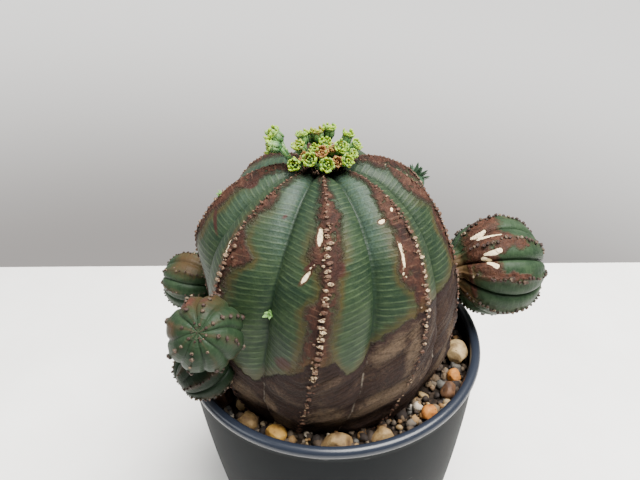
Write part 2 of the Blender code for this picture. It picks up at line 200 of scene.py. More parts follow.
def piece_from(name, points, faces, finish, stands_for=(), marks=None):
    """A smooth-shaded piece with its numbers stored per point, riding on the model's one body."""
    mesh = mesh_from(name, points, faces)
    for key, values in (marks or {}).items():
        layer = mesh.attributes.new(key, "FLOAT", "POINT")
        layer.data.foreach_set("value", np.asarray(values, np.float32).ravel())
    mesh.materials.append(finish)
    mesh.shade_smooth()
    piece = add_object(name, mesh)
    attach(piece, "root")
    if stands_for:
        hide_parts(*stands_for)
    return piece


def net_faces(rows, columns, poles=True):
    """Faces of a net whose columns close in a ring. Its poles are two more points after the net's own."""
    row, column = np.mgrid[0 : rows - 1, 0:columns]
    here, beside = row * columns + column, row * columns + (column + 1) % columns
    faces = np.stack([here, beside, beside + columns, here + columns], -1).reshape(-1, 4).tolist()
    if poles:
        ring = np.arange(columns)
        after, last = (ring + 1) % columns, (rows - 1) * columns
        pole = np.full(columns, rows * columns)
        faces += np.stack([after, ring, pole], -1).tolist()
        faces += np.stack([last + ring, last + after, pole + 1], -1).tolist()
    return faces


def with_poles(net):
    """A net's points, or a number for each, in one list that ends with the middles of its end rows."""
    return np.concatenate([net.reshape(-1, *net.shape[2:]), net[:1].mean(1), net[-1:].mean(1)])


def net_piece(name, net, finish, stands_for=(), marks=None, flip=False):
    """A closed piece from rows of points, with the middles of its first and last rows as poles."""
    faces = net_faces(*net.shape[:2])
    if flip:
        faces = [face[::-1] for face in faces]
    stored = {key: with_poles(value) for key, value in (marks or {}).items()}
    return piece_from(name, with_poles(net), faces, finish, stands_for, stored)


def turned(profile, sides):
    """A profile of radius and height carried round the upright axis.

    A point is the radius times the angle's sine and minus its cosine, at the profile's height.
    """
    angle = np.arange(sides) * tau / sides
    radius, height = np.asarray(profile, float).T[:, :, None]
    return np.stack([radius * np.sin(angle), -radius * np.cos(angle), height + 0 * angle], -1)


def arc(middle, radius, start, end, count):
    """Points of a circle's arc in the plane of radius and height, from one angle in degrees to another."""
    angle = np.radians(np.linspace(start, end, count))
    return np.stack([middle[0] + radius * np.cos(angle), middle[1] + radius * np.sin(angle)], -1)


def pot_radius(height):
    """The outer wall: the top radius less a straight and a squared share of the depth below the rim."""
    depth = POT_HEIGHT - height
    return POT_TOP_RADIUS - POT_TAPER * depth - POT_CURVE * depth**2


def pot_finish():
    f = Finish("pot_plastic", Specular_IOR_Level=0.04, Coat_Roughness=0.27)
    grain, dull = f.noise(0.9, 4.0), f.noise(26.0, 3.0)
    height = f.node("ShaderNodeSeparateXYZ", None, {0: f.place()}, out=2)
    rim = height.step(WALL_TOP * MM, (WALL_TOP + 1.0) * MM)
    streaks = f.noise(1.0, 2.0, at=f.place((0.10, 0.10, 1.4)))
    scratched = f.cells(17.0, at=f.place((0.5, 0.5, 2.2))).step(0.016, 0.006)
    scratched = scratched * f.noise(9.0).step(0.64, 0.72) * (1 - rim)
    colour = f.coats(
        CHARCOAL,
        (dull.step(0.35, 0.75) * 0.6 + grain * 0.25, CHARCOAL_WORN),
        # Painted sheen: the rim a lighter blue-grey than the wall
        (rim, RIM_SHEEN_BLUE),
        (scratched * 0.22, SCRATCH),
    )
    f.feed(f.shader.inputs["Coat Weight"], rim * (0.45 + dull * 0.5))
    return f.finish(colour, 0.5 + dull * 0.12 + grain * 0.06, grain * 0.5 + streaks * 0.3, 0.05, 0.5)


def make_pot():
    """The tub from its profile, then six round cutters through its floor."""
    heel = pot_radius(HEEL_TOP)
    levels = np.linspace(HEEL_TOP, WALL_TOP, 40)
    inside = np.linspace(WALL_TOP - 0.2, HEEL_TOP, 24)
    profile = np.concatenate([
        [(0.5, 0.0), (heel - POT_HEEL - 1.0, 0.0)],
        arc((heel - POT_HEEL, POT_HEEL), POT_HEEL, -90, -12, 9),
        np.stack([pot_radius(levels), levels], -1),
        arc(RIM_MIDDLE, RIM_RADIUS, -48, 200, 20),
        np.stack([pot_radius(inside) - POT_WALL, inside], -1),
        [(heel - 6.0, POT_FLOOR), (0.5, POT_FLOOR)],
    ])
    pot = net_piece("pot_tub", turned(profile, POT_SIDES), pot_finish(), ["pot"])
    for i in range(DRAIN_COUNT):
        angle = tau * i / DRAIN_COUNT
        drain = turned([(DRAIN_RADIUS, -1.0), (DRAIN_RADIUS, POT_FLOOR + 1.0)], DRAIN_SIDES)
        drain += np.array([DRAIN_RING * sin(angle), -DRAIN_RING * cos(angle), 0.0])
        cutter = add_object("drain", mesh_from("drain", with_poles(drain), net_faces(2, DRAIN_SIDES)))
        cut = pot.modifiers.new("Drain", "BOOLEAN")
        cut.operation, cut.object = "DIFFERENCE", cutter
        graph = bpy.context.evaluated_depsgraph_get()
        made = bpy.data.meshes.new_from_object(pot.evaluated_get(graph))
        pot.modifiers.clear()
        pot.data = made
        bpy.data.objects.remove(cutter)
    pot.data.set_sharp_from_angle(angle=radians(50))


make_pot()


# Main stem
# One fleshy ball of nine ribs that narrow into a turnip-like foot. The skin is waxy grey-green with a pale
# line for each growth ring, a painted bluish highlight beside the grooves and painted shade in them. Old
# keels and the foot are brown cork.

STEM_AXIS = (-2.0, 0.0)
STEM_RADIUS = 46.0
STEM_MIDDLE = 109.8
STEM_ABOVE = 47.3
STEM_BELOW = 56.5
STEM_ROUNDING = 0.83

# Each keel at KEEL_LEVEL down the ball: azimuth in degrees, and its turning with the angle and its square
KEEL_LEVEL = 1.4
STEM_KEELS = np.array([
    (-129, 0, 0), (-86, -6, -6), (-45, 4, 8), (-3, -12, -5), (37.5, -18.5, -8),
    (73, -17, -2), (117, 6, -2), (155, 0, 0), (193, 0, 0),
], float)

# Flattened sides: azimuth and half width in degrees, depth, and the angle down the ball where each starts
STEM_HOLLOWS = ((-90, 36, 6.0, 0.95), (85, 35, 2.0, 0.6))
GROOVE_DEPTH = 5.2
GROOVE_FADING = 0.72
DIMPLE_DEPTH = 3.0
DIMPLE_WIDTH = 0.14
STEM_COLUMNS = 32 * len(STEM_KEELS)
STEM_ROWS = 320
STEM_FOOT_ANGLE = 2.32
ARC_PER_ANGLE = 47.0
BEAD_SPACING = 1.9

# How many spacings the growth bands rise above level, at each keel and groove in turn
BAND_RISE = (
    0, 0.5, 0, -0.4, -2.1, -0.85, -4.15, -2.3, -3.7, -4.4, -5.0, -3.9, -3.8, -2.7, -2.6, -1.4, -1.4, -0.3, 0,
)
BARK_RISE = 0.34
BARK_PARTING = -9.0
BARK_FOLD = 0.7
CREST_HEIGHT = 0.55
CREST_WIDTH = 1.1

# Corky strips on each side of a keel: angle down the ball, then width in millimetres
KEEL_CORK = {
    1: (((0.3, 2.8), (0.6, 3.6), (0.9, 2.4), (1.2, 2.0), (1.6, 2.4)),
        ((0.3, 3.6), (0.45, 4.2), (0.58, 3.0), (0.7, 4.4), (0.82, 2.4), (0.95, 3.2), (1.1, 1.8), (1.6, 2.4))),
    2: (((0.3, 0.9), (1.0, 1.0), (1.5, 1.6)),
        ((0.3, 0.9), (0.40, 2.4), (0.49, 3.9), (0.54, 1.0), (0.68, 1.0), (0.74, 2.8), (0.80, 7.4),
         (0.85, 8.2), (0.90, 4.6), (0.98, 2.2), (1.12, 3.0), (1.25, 1.6), (1.5, 2.4))),
    3: (((0.2, 1.0), (0.30, 1.8), (0.46, 3.4), (0.55, 3.0), (0.66, 3.9), (0.74, 5.2), (0.80, 5.0),
         (0.86, 3.0), (0.92, 2.0), (1.01, 2.4), (1.06, 5.4), (1.13, 6.0), (1.2, 3.8), (1.35, 5.0), (1.5, 6)),
        ((0.2, 0.9), (0.30, 1.4), (0.44, 3.4), (0.52, 4.8), (0.57, 3.0), (0.64, 3.8), (0.70, 3.2),
         (0.76, 4.8), (0.83, 3.4), (0.95, 3.0), (1.05, 3.0), (1.15, 2.4), (1.35, 3.4), (1.5, 5.2))),
    4: (((0.2, 1.2), (0.38, 2.0), (0.48, 3.4), (0.56, 4.4), (0.62, 5.6), (0.68, 4.2), (0.76, 5.6),
         (0.86, 6.2), (0.96, 7.4), (1.04, 6.4), (1.12, 3.0), (1.25, 3.4), (1.4, 4.0)),
        ((0.2, 0.9), (0.9, 1.0), (1.3, 1.6))),
    5: (((0.2, 1.2), (0.42, 2.0), (0.50, 4.4), (0.60, 5.0), (0.67, 5.4), (0.72, 2.0), (0.80, 1.4),
         (0.87, 3.4), (0.98, 4.4), (1.06, 2.6), (1.2, 2.0), (1.4, 3.0)),
        ((0.2, 1.2), (0.5, 2.6), (0.8, 1.6), (1.0, 2.6), (1.4, 3.0))),
}

# The strips of the other keels, and the steps of angle over which every strip's width is averaged
PLAIN_CORK = ((0.2, 1.4), (0.5, 3.2), (0.8, 1.8), (1.05, 3.6), (1.3, 2.2), (1.6, 3.0))
CORK_SMOOTHING = (-0.036, -0.018, 0, 0.018, 0.036)

# Where the green ends and the foot's cork begins: azimuth in degrees, then angle down the ball
BARK_EDGE = (
    (-180, 1.48), (-150, 1.62), (-120, 1.70), (-90, 1.66), (-60, 1.64), (-38, 1.57), (-28, 1.67),
    (-19, 1.54), (-12, 1.52), (-6, 1.42), (3, 1.42), (8, 1.54), (13, 1.48), (20, 1.36), (29, 1.28),
    (45, 1.22), (59, 1.30), (74, 1.23), (110, 1.34), (150, 1.46), (180, 1.48),
)

# Patches: rib, millimetres from its keel, angle down the ball, half width, half length, and a slant or none.
# The scars are torn and show the pale flesh.
SCARS = (
    (3, -2.1, 0.635, 0.85, 3.1, 0.08), (3, -5.8, 0.880, 0.80, 2.0, 0.55), (3, -4.2, 0.815, 0.30, 0.9, 1.1),
    (4, -4.7, 0.815, 0.55, 3.6, 0.10), (4, -5.5, 0.895, 0.50, 3.6, 0.20), (4, -6.2, 0.965, 0.38, 1.4, -0.6),
    (4, -5.5, 0.600, 1.05, 0.75, 0.0), (4, -1.2, 0.565, 0.5, 0.7, 0.3), (2, -1.6, 0.84, 0.50, 4.0, -0.24),
)
RED_SPOTS = (
    (1, 5.6, 0.78, 1.4, 3.4, -1.24), (1, 4.0, 0.42, 1.5, 2.5), (3, -9.4, 1.45, 2.6, 2.1),
    (3, 2.6, 0.84, 2.2, 2.8), (2, 7.4, 0.495, 0.5, 0.9), (4, -2.0, 1.12, 2.4, 2.6),
    (3, -3.6, 0.79, 1.3, 2.8, 1.0),
)
PALE_BARK = (
    (4, -10.2, 1.40, 3.8, 6.5, 0.62), (4, -6.5, 1.76, 4.4, 6.2, 1.1), (4, -2.6, 1.48, 1.8, 7.5),
    (3, 7.0, 1.86, 5.0, 4.0), (3, -12.0, 1.80, 4.0, 3.0, -0.6), (2, 6.0, 1.82, 5.0, 4.0),
    (3, -6.0, 1.98, 4.0, 4.5), (5, -6.0, 1.75, 3.0, 6.0), (6, 4.0, 1.65, 5.0, 6.0), (8, -5.0, 1.80, 6.0, 4.0),
)

# Painted highlight beside the grooves, bluish like wax bloom and strongest on the flanks that catch the
# overhead light: the rib, the side of its keel, and how strong
PAINTED_SHEEN_FLANKS = (
    (4, -1, 0.44), (2, 1, 0.32), (3, -1, 0.08), (3, 1, 0.06), (1, 1, 0.20), (5, -1, 0.06), (2, -1, 0.10),
    (0, 1, 0.3), (6, -1, 0.3), (7, 1, 0.3), (8, -1, 0.3),
)

SKIN_DARK = (0.0074, 0.0180, 0.0086)
SKIN_MID = (0.0238, 0.0405, 0.0160)
SKIN_BAND = (0.058, 0.085, 0.040)
# The painted highlight's bluish colour
SKIN_PAINTED_SHEEN = (0.062, 0.108, 0.092)
SKIN_OLIVE = (0.046, 0.029, 0.0065)
CORK_EDGE = (0.0135, 0.0040, 0.0034)
SPOT_RED = (0.030, 0.0090, 0.0062)
CORK_BROWN = (0.044, 0.0150, 0.0080)
CORK_PALE = (0.130, 0.071, 0.043)
BARK_DARK = (0.0078, 0.0036, 0.0031)
BARK_MID = (0.0275, 0.0130, 0.0084)
BARK_PALE = (0.105, 0.070, 0.043)
CRACK_PALE = (0.22, 0.19, 0.15)
SCAR_CREAM = (0.84, 0.68, 0.42)
SCAR_RIM = (0.048, 0.017, 0.008)


def lumps(x, y, seed, waves=5):
    """Seeded soft noise about 0: a mean of sine waves along random directions in the plane of x and y."""
    random = np.random.default_rng(seed)
    total = 0
    for _ in range(waves):
        angle, length, phase = random.uniform(0, tau), random.uniform(0.6, 1.9), random.uniform(0, tau)
        total = total + np.sin((x * np.cos(angle) + y * np.sin(angle)) * length + phase)
    return total / waves


def eased(value, start, length):
    """0 up to the start and 1 from a length beyond it, with a soft step between."""
    share = np.clip((value - start) / length, 0, 1)
    return share**2 * (3 - 2 * share)


def rib_share(rib):
    """0 on a keel and 1 in a groove. Whole rib coordinates are keels and halves are grooves."""
    return np.abs(2 * (rib - np.round(rib)))


def nearest_keel(rib):
    return np.round(rib).astype(int) % len(STEM_KEELS)


def stem_azimuth(rib, down):
    """The azimuth of a rib coordinate at an angle down the ball, and half the rib's width, in radians."""
    turn = down - KEEL_LEVEL
    count = len(STEM_KEELS)
    low = np.floor(rib).astype(int)
    near, far = STEM_KEELS[low % count], STEM_KEELS[(low + 1) % count]
    lap = 360.0 * ((low + 1) // count - low // count)
    first, second = (keel[..., 0] + keel[..., 1] * turn + keel[..., 2] * turn**2 for keel in (near, far))
    second = second + lap
    return np.radians(first + (second - first) * (rib - low)), np.radians(second - first) / 2


def stem_point(rib, down, lift=0.0):
    """A point of the stem, its outward direction, its way from the keel in millimetres, and its azimuth.

    The ball is a powered sine for the radius and a cosine for the height. The surface then sinks along its
    own outward direction: nearly straight from keel to groove with a steep last part, by the hollows, and
    into a dimple at the crown.
    """
    azimuth, half = stem_azimuth(rib, down)
    above = down <= pi / 2
    rise, power = np.where(above, STEM_ABOVE, STEM_BELOW), np.where(above, STEM_ROUNDING, 1.0)
    radius = STEM_RADIUS * np.sin(down) ** power
    height = STEM_MIDDLE + rise * np.cos(down)
    across = STEM_RADIUS * power * np.sin(down) ** (power - 1) * np.cos(down)
    fall = rise * np.sin(down)
    length = np.hypot(across, fall)
    out, up = fall / length, across / length
    share = rib_share(rib)
    depth = GROOVE_DEPTH * np.minimum(1.0, 0.35 + down) * (1.0 - GROOVE_FADING * eased(down, 1.30, 0.6))
    sunk = depth * (0.58 * (np.sqrt(share**2 + 0.004) - 0.063) + 0.36 * share**4 + 0.10 * share**24)
    for middle, width, hollow, start in STEM_HOLLOWS:
        away = (azimuth - radians(middle) + pi) % tau - pi
        sunk = sunk + hollow * eased(down, start, 0.5) * np.exp(-((away / radians(width)) ** 2))
    rise_by = lift - sunk
    x = STEM_AXIS[0] + (radius + out * rise_by) * np.sin(azimuth)
    y = STEM_AXIS[1] - (radius + out * rise_by) * np.cos(azimuth)
    z = height + up * rise_by - DIMPLE_DEPTH * np.exp(-((down / DIMPLE_WIDTH) ** 2))
    outward = np.stack([out * np.sin(azimuth), -out * np.cos(azimuth), up + 0 * azimuth], -1)
    across_keel = 2 * (rib - np.round(rib)) * half * radius
    return np.stack([x, y, z], -1), outward, across_keel, azimuth


def cork_field(rib, down, across_keel):
    """Millimetres inside the corky strip of the nearest keel: its width there, less the way from the keel."""
    nearest = nearest_keel(rib)
    width = np.zeros(np.shape(down))
    for index in range(len(STEM_KEELS)):
        left, right = KEEL_CORK.get(index, (PLAIN_CORK, PLAIN_CORK))
        shift = 0.0 if index in KEEL_CORK else 0.13 * index
        for side, profile in ((-1, left), (1, right)):
            angle, size = np.transpose(profile)
            chosen = (nearest == index) & (np.sign(across_keel + 1e-9) == side)
            smooth = sum(np.interp(down + shift + step, angle, size) for step in CORK_SMOOTHING)
            width = np.where(chosen, smooth / len(CORK_SMOOTHING), width)
    return width - np.abs(across_keel)


def patch_field(patches, rib, down, across_keel):
    """1 in the middle of each slanted oval patch, 0 on its edge and less outside it."""
    nearest = nearest_keel(rib)
    field = np.full(np.shape(down), -3.0)
    for index, across, angle, half_width, half_length, *slant in patches:
        y = (down - angle) * ARC_PER_ANGLE
        x = across_keel - across + y * (slant[0] if slant else 0.0)
        reach = np.sqrt((x / half_width) ** 2 + (y / half_length) ** 2)
        field = np.where(nearest == index, np.maximum(field, 1 - reach), field)
    return field


def stem_finish():
    f = Finish("stem_skin", Specular_IOR_Level=0.18)
    share, growth, flow = f.mark("rib_share"), f.mark("growth"), f.mark("bark_flow")
    fine, soft, large = f.noise(0.6, 3.0, 0.65), f.noise(4.0, 4.0), f.noise(13.0, 4.0, 0.6)
    ragged = f.noise(2.4, 6.0, 0.66) - 0.5
    drips = f.noise(5.0, 4.0, 0.6, f.place((1.0, 1.0, 0.5))) - 0.5
    mottle = f.noise(2.2, 5.0, 0.7, f.place((1.0, 1.0, 0.45)))
    strands = f.noise(0.8, 5.0, 0.68, f.place_by((0.22, 0.22, 0.0), growth * (BEAD_SPACING * MM))) - 0.5
    tone = large.step(0.34, 0.66) * 0.4 + (fine - 0.5) * 0.5 + (mottle - 0.5) + strands * 2.6 + 0.17
    line = abs((growth + soft * 0.3 + fine * 0.08).remainder(1.0) - 0.5)
    band = (line + strands * 0.14).step(0.33, 0.485)
    band = band * (f.noise(5.0, 3.0).step(0.30, 0.66) * 0.8 + 0.2) * share.step(0.99, 0.88)
    # Painted highlight: a bluish sheen beside the grooves, broken up by fine noise
    sheen = f.mark("painted_sheen") * (f.noise(0.7, 5.0, 0.8).step(0.38, 0.68) * 0.8 + 0.2)
    cork_mm = f.mark("cork") + ragged * 4.6 + drips * 4.2
    green = f.coats(
        SKIN_DARK,
        (tone, SKIN_MID),
        (band * (fine * 0.7 + mottle * 0.4 + strands * 0.8), SKIN_BAND),
        (sheen * (1 - band * 0.3), SKIN_PAINTED_SHEEN),
        # Painted shade down the middle of each groove
        (share.step(0.965, 0.995) * 0.85, SKIN_DARK),
        (cork_mm.step(-4.2, -0.3) * (soft.step(0.3, 0.6) * 0.5 + 0.45) * growth.step(6.0, 18.0), SKIN_OLIVE),
        (cork_mm.step(-1.8, -0.6) * 0.5, SKIN_DARK),
    )

    crusty = f.noise(1.7, 6.0, 0.74, f.place((1.0, 1.0, 0.5)))
    clouds = f.noise(5.5, 3.0, 0.55, f.place((1.0, 1.0, 0.6)))
    cork = f.coats(
        CORK_EDGE,
        ((crusty * 0.7 + clouds * 0.6).step(0.46, 0.74), CORK_BROWN),
        ((crusty + clouds * 0.3).step(0.68, 0.94) * 0.75, CORK_PALE),
        (band * soft.step(0.4, 0.6) * 0.5, CORK_PALE),
        (cork_mm.step(1.5, 0.1) * 0.5, CORK_EDGE),
    )
    holes = f.noise(2.8, 4.0, 0.6).step(0.56, 0.64) * cork_mm.step(3.4, 1.2)
    corked = cork_mm.step(-1.4, 0.9) * (1 - holes * 0.85)

    streamed = f.place_by((0.42, 0.42, 0.0), flow * MM)
    streaks, folds = f.noise(1.0, 7.0, 0.74, streamed), f.noise(4.5, 5.0, 0.6, streamed)
    grain = f.noise(0.7, 5.0, 0.8)
    worn = folds * 0.75 + streaks * 0.25 + grain * 0.25
    worn = worn + (f.mark("pale_bark") + ragged * 1.2).step(-0.6, 0.7) * 0.32
    wrinkles = f.cells(4.2, streamed).step(0.0, 0.07)
    bark_mm = f.mark("bark") + ragged * 5.0 + drips * 4.0
    barked = bark_mm.step(-0.5, 0.5)
    bark = f.coats(
        BARK_DARK,
        ((streaks * 0.45 + grain * 0.65).step(0.38, 0.66), BARK_MID),
        (worn.step(0.58, 0.92) * (grain * 1.3).step(0.2, 0.85), BARK_PALE),
        ((1 - wrinkles) * 0.25, BARK_DARK),
        (bark_mm.step(3.5, 0.5) * 0.8, CORK_EDGE),
    )

    torn = f.mark("scar") + (fine - 0.5) * 0.5 + ragged * 0.5
    crack = share.step(0.972, 0.996) * barked * f.noise(3.0, 4.0).step(0.42, 0.58)
    colour = f.coats(
        green,
        ((f.mark("red_spot") + ragged * 1.2).step(-0.3, 0.3) * 0.95, SPOT_RED),
        (corked * (0.66 + crusty * 0.6), cork),
        (bark_mm.step(-4.5, -0.5) * 0.5, SKIN_OLIVE),
        (barked, bark),
        (crack * 0.65, CRACK_PALE),
        (torn.step(-0.7, -0.1) * 0.8, SCAR_RIM),
        (torn.step(0.0, 0.25), SCAR_CREAM),
    )
    woody = corked.most(barked)
    ringed = line.step(0.22, 0.47) * (1 - woody) * 0.05
    crust = corked * (1 - barked) * (crusty * 0.6 + 0.3)
    height = ringed + crust + barked * (streaks + folds * 2.0 + wrinkles * 0.15 + grain * 0.8)
    height = height + fine * 0.12 - torn.step(-0.3, 0.3) * 0.5
    return f.finish(colour, 0.42 + fine * 0.14 + woody * 0.2, height, 0.8)


def make_stem():
    """The stem with its keel crests, soft waves and bark folds, and the numbers that its finish reads."""
    rib = np.arange(STEM_COLUMNS) / STEM_COLUMNS * len(STEM_KEELS)
    angle = np.concatenate([np.linspace(0.012, 0.16, 14), np.linspace(0.17, STEM_FOOT_ANGLE, STEM_ROWS - 14)])
    down, rib = np.meshgrid(angle, rib, indexing="ij")
    net, _, across, azimuth = stem_point(rib, down)
    share = rib_share(rib)
    crest = CREST_HEIGHT * np.exp(-((across / CREST_WIDTH) ** 2)) * np.clip(down / 0.3, 0, 1)
    crest = crest * (0.8 + 0.4 * lumps(rib * 9.0, down * 60.0, 3))
    wavy = 0.28 * lumps(rib * 5.0, down * 14.0, 5) * (0.4 + down)
    turn = np.degrees((azimuth + pi) % tau - pi)
    edge_at, edge_angle = np.transpose(BARK_EDGE)
    bark = (down - np.interp(turn, edge_at, edge_angle)) * ARC_PER_ANGLE
    flow = net[..., 2] - BARK_RISE * np.abs(turn - BARK_PARTING)
    folds = BARK_FOLD * lumps(flow * 1.7, turn * 0.12, 12)
    folds = folds + 0.5 * BARK_FOLD * lumps(flow * 3.6, turn * 0.3, 13)
    folds = folds * np.clip(bark / 3.0, 0, 1) * np.clip(2.15 - down, 0, 0.1) * 10
    net, _, across, _ = stem_point(rib, down, crest + wavy + folds)
    growth = down * ARC_PER_ANGLE / BEAD_SPACING + np.interp(2 * rib, np.arange(len(BAND_RISE)), BAND_RISE)
    nearest, side = nearest_keel(rib), np.sign(rib - np.round(rib))
    # The painted highlight beside the grooves: its strength on each flank, rising towards the groove and
    # fading down the ball
    strength = np.zeros(share.shape)
    for keel, flank, amount in PAINTED_SHEEN_FLANKS:
        strength[(nearest == keel) & (side == flank)] = amount
    inner_edge = 0.15 + 0.72 * np.clip((down - 0.3) / 0.6, 0, 1)
    beside_groove = 0.28 * np.exp(-(((share - 0.6) / 0.18) ** 2)) + np.clip((share - inner_edge) / 0.25, 0, 1)
    beside_groove = beside_groove * np.clip((0.99 - share) / 0.03, 0, 1)
    marks = {
        "rib_share": share,
        "growth": growth,
        "bark_flow": flow,
        "cork": cork_field(rib, down, across) - 0.7,
        "bark": bark,
        "scar": patch_field(SCARS, rib, down, across),
        "red_spot": patch_field(RED_SPOTS, rib, down, across),
        "pale_bark": patch_field(PALE_BARK, rib, down, across),
        "painted_sheen": strength * beside_groove * np.clip((1.06 - down) / 0.35, 0, 1),
    }
    net_piece("stem_skin", net, stem_finish(), ["main_stem"], marks, flip=True)


make_stem()


# Keel beads
# Each growth ring leaves a small warty cushion on every keel, where a leaf and then a flower stalk stood.
# It is dry, dark brown and knobbed, often with a pale broken tip, and is part of the skin. Painted shade
# darkens its foot.

BEAD_HALF_WIDTH = 1.05
BEAD_HEIGHT = 0.72

# Size of the beads by keel, and on every other keel
BEAD_SIZES = {2: 0.68, 3: 0.78, 4: 0.66}
PLAIN_BEAD_SIZE = 0.68
BEAD_COLUMNS = 8
# Near-black of the painted shade at the warts' foot
WART_FOOT_SHADE = (0.010, 0.0036, 0.0026)
WART_BROWN = (0.085, 0.036, 0.018)
WART_PALE = (0.58, 0.44, 0.26)


def bead_net():
    """A low knob of unit size with a small pit on top, turned from a profile of radius and height."""
    profile = [(0.30, 0.80), (0.55, 1.0), (0.82, 0.72), (1.0, 0.25), (0.95, -0.35)]
    return turned(profile, BEAD_COLUMNS)


def scatter(name, net, places, axes, sizes, finish, marks=None, dents=0.0, seed=0, flip=False):
    """Copies of one small closed net in a single mesh.

    A copy's point is its place plus the net's point times its size and axes. dents moves each copy's points
    in and out by sine waves of its own. marks gives a number per copy.
    """
    shape = with_poles(net)
    random = np.random.default_rng(seed)
    count = len(places)
    wave = random.normal(size=(count, 3)) * 2.6
    phase = random.uniform(0, tau, (count, 1))
    swell = 1 + dents * np.sin(np.einsum("pk,ck->cp", shape, wave) + phase)
    local = shape[None] * swell[..., None] * np.asarray(sizes)[:, None, :]
    points = np.einsum("cpk,ckj->cpj", local, np.asarray(axes)) + np.asarray(places)[:, None, :]
    faces = np.array([face + face[:1] if len(face) == 3 else face for face in net_faces(*net.shape[:2])])
    copies = (faces[None] + (np.arange(count) * len(shape))[:, None, None]).reshape(-1, 4)
    order = slice(None, None, -1) if flip else slice(None)
    listed = [list(dict.fromkeys(face))[order] for face in copies.tolist()]
    stored = {key: np.repeat(value, len(shape)) for key, value in (marks or {}).items()}
    low, high = shape[:, 2].min(), shape[:, 2].max()
    stored["tip"] = np.tile((shape[:, 2] - low) / (high - low), count)
    return piece_from(name, points, listed, finish, marks=stored)


def wart_finish(name, dark, brown):
    f = Finish(name, Specular_IOR_Level=0.35)
    tip, luck = f.mark("tip"), f.mark("luck")
    grain = f.noise(0.35, 3.0)
    # Painted shade: each wart runs from its darkened foot to its own brown towards the top
    colour = f.blend(tip * 0.9 + (grain - 0.5) * 1.1, dark, brown)
    chipped = f.noise(0.55, 4.0, 0.75).step(0.44, 0.56)
    colour = f.blend(tip.step(0.30, 0.75) * luck.step(0.25, 0.85) * chipped, colour, WART_PALE)
    return f.finish(colour, 0.55 + grain * 0.2, grain, 0.16, 0.9)


def unit(vectors):
    return vectors / np.linalg.norm(vectors, axis=-1, keepdims=True)


def tangent_axes(outward, along):
    """Three axes for each copy: across the keel, along it, and outward."""
    along = unit(along - (along * outward).sum(-1, keepdims=True) * outward)
    return np.stack([np.cross(along, outward), along, outward], -2)


def make_keel_beads():
    """A bead for each growth ring on each keel, and two smaller ones beside it."""
    random = np.random.default_rng(21)
    angle = np.arange(0.15, 2.14, BEAD_SPACING / ARC_PER_ANGLE)
    down, rib = np.meshgrid(angle, np.arange(len(STEM_KEELS), dtype=float), indexing="ij")
    down, rib = np.tile(down.ravel(), 3), np.tile(rib.ravel(), 3)
    count = len(down)
    main = np.arange(count) < count // 3
    down = down + random.uniform(-0.008, 0.008, count) + np.where(main, 0, random.uniform(-0.02, 0.02, count))
    side = random.normal(size=count) * np.where(main, 0.010, 0.024)
    places, outward, _, _ = stem_point(rib + side, down, 0.35)
    ahead, _, _, _ = stem_point(rib + side, down + 0.01, 0.35)
    bare = np.where(rib == 3, 0.55, np.where(rib == 4, 0.50, 0.12)) * np.exp(-(((down - 1.1) / 0.55) ** 2))
    bare = bare + 2.0 * ((rib == 3) & (np.abs(down - 1.49) < 0.03))
    luck = np.clip(random.uniform(0, 0.5, count) + bare * random.uniform(0.1, 0.9, count), 0, 1)
    size = random.uniform(0.75, 1.10, count) * np.clip(0.3 + down, 0.5, 1.15)
    size = size * np.where(down > 1.5, 0.72, 1.0)
    size = size * np.array([BEAD_SIZES.get(int(keel), PLAIN_BEAD_SIZE) for keel in rib])
    size = size * np.where(main, 1.0, 0.55)
    wide = random.uniform(0.85, 1.25, count)
    sizes = np.stack([size * BEAD_HALF_WIDTH * wide, size * BEAD_HALF_WIDTH * 0.66, size * BEAD_HEIGHT], -1)
    scatter(
        "keel_beads", bead_net(), places, tangent_axes(outward, ahead - places), sizes,
        wart_finish("keel_warts", WART_FOOT_SHADE, WART_BROWN),
        marks={"luck": luck}, dents=0.30, seed=4, flip=True,
    )


make_keel_beads()


# Grit
# A top dressing of washed grit: brown, tan, grey and a few white grains of one to four millimetres, poured
# over dark potting mix and packed loosely between the stem and the pot.

GRIT_TOP = 82.0
GRIT_DEPTH = 5.0
GRAIN_COUNT = 900
GRAIN_LEAST = 0.6
GRAIN_SPREAD = 1.5

# The grains' colours from 0 to 1 of their shade
GRIT_COLOURS = (
    (0.0, (0.014, 0.009, 0.007)), (0.20, (0.042, 0.028, 0.018)), (0.42, (0.12, 0.080, 0.044)),
    (0.58, (0.072, 0.068, 0.060)), (0.74, (0.17, 0.085, 0.026)), (0.90, (0.27, 0.185, 0.085)),
    (1.0, (0.46, 0.42, 0.36)),
)
MIX_DARK = (0.006, 0.0045, 0.0035)
MIX_BROWN = (0.035, 0.022, 0.014)
MIX_FLECK = (0.14, 0.11, 0.075)


def foot_radius(azimuth, height):
    """The stem's reach from the pot's axis in a direction, at a height below its middle."""
    down = np.arccos((height - STEM_MIDDLE) / STEM_BELOW)
    rib = np.linspace(0, len(STEM_KEELS), 360, endpoint=False)
    points, _, _, _ = stem_point(rib, np.full(rib.shape, down))
    around, reach = np.arctan2(points[:, 0], -points[:, 1]), np.hypot(points[:, 0], points[:, 1])
    order = np.argsort(around)
    return np.interp(azimuth, around[order], reach[order], period=tau)


def stone_net(rows, columns):
    """A unit ball as rows of latitude, poles left out."""
    latitude = np.linspace(0, pi, rows + 2)[1:-1]
    return turned(np.stack([np.sin(latitude), np.cos(latitude)], -1), columns)


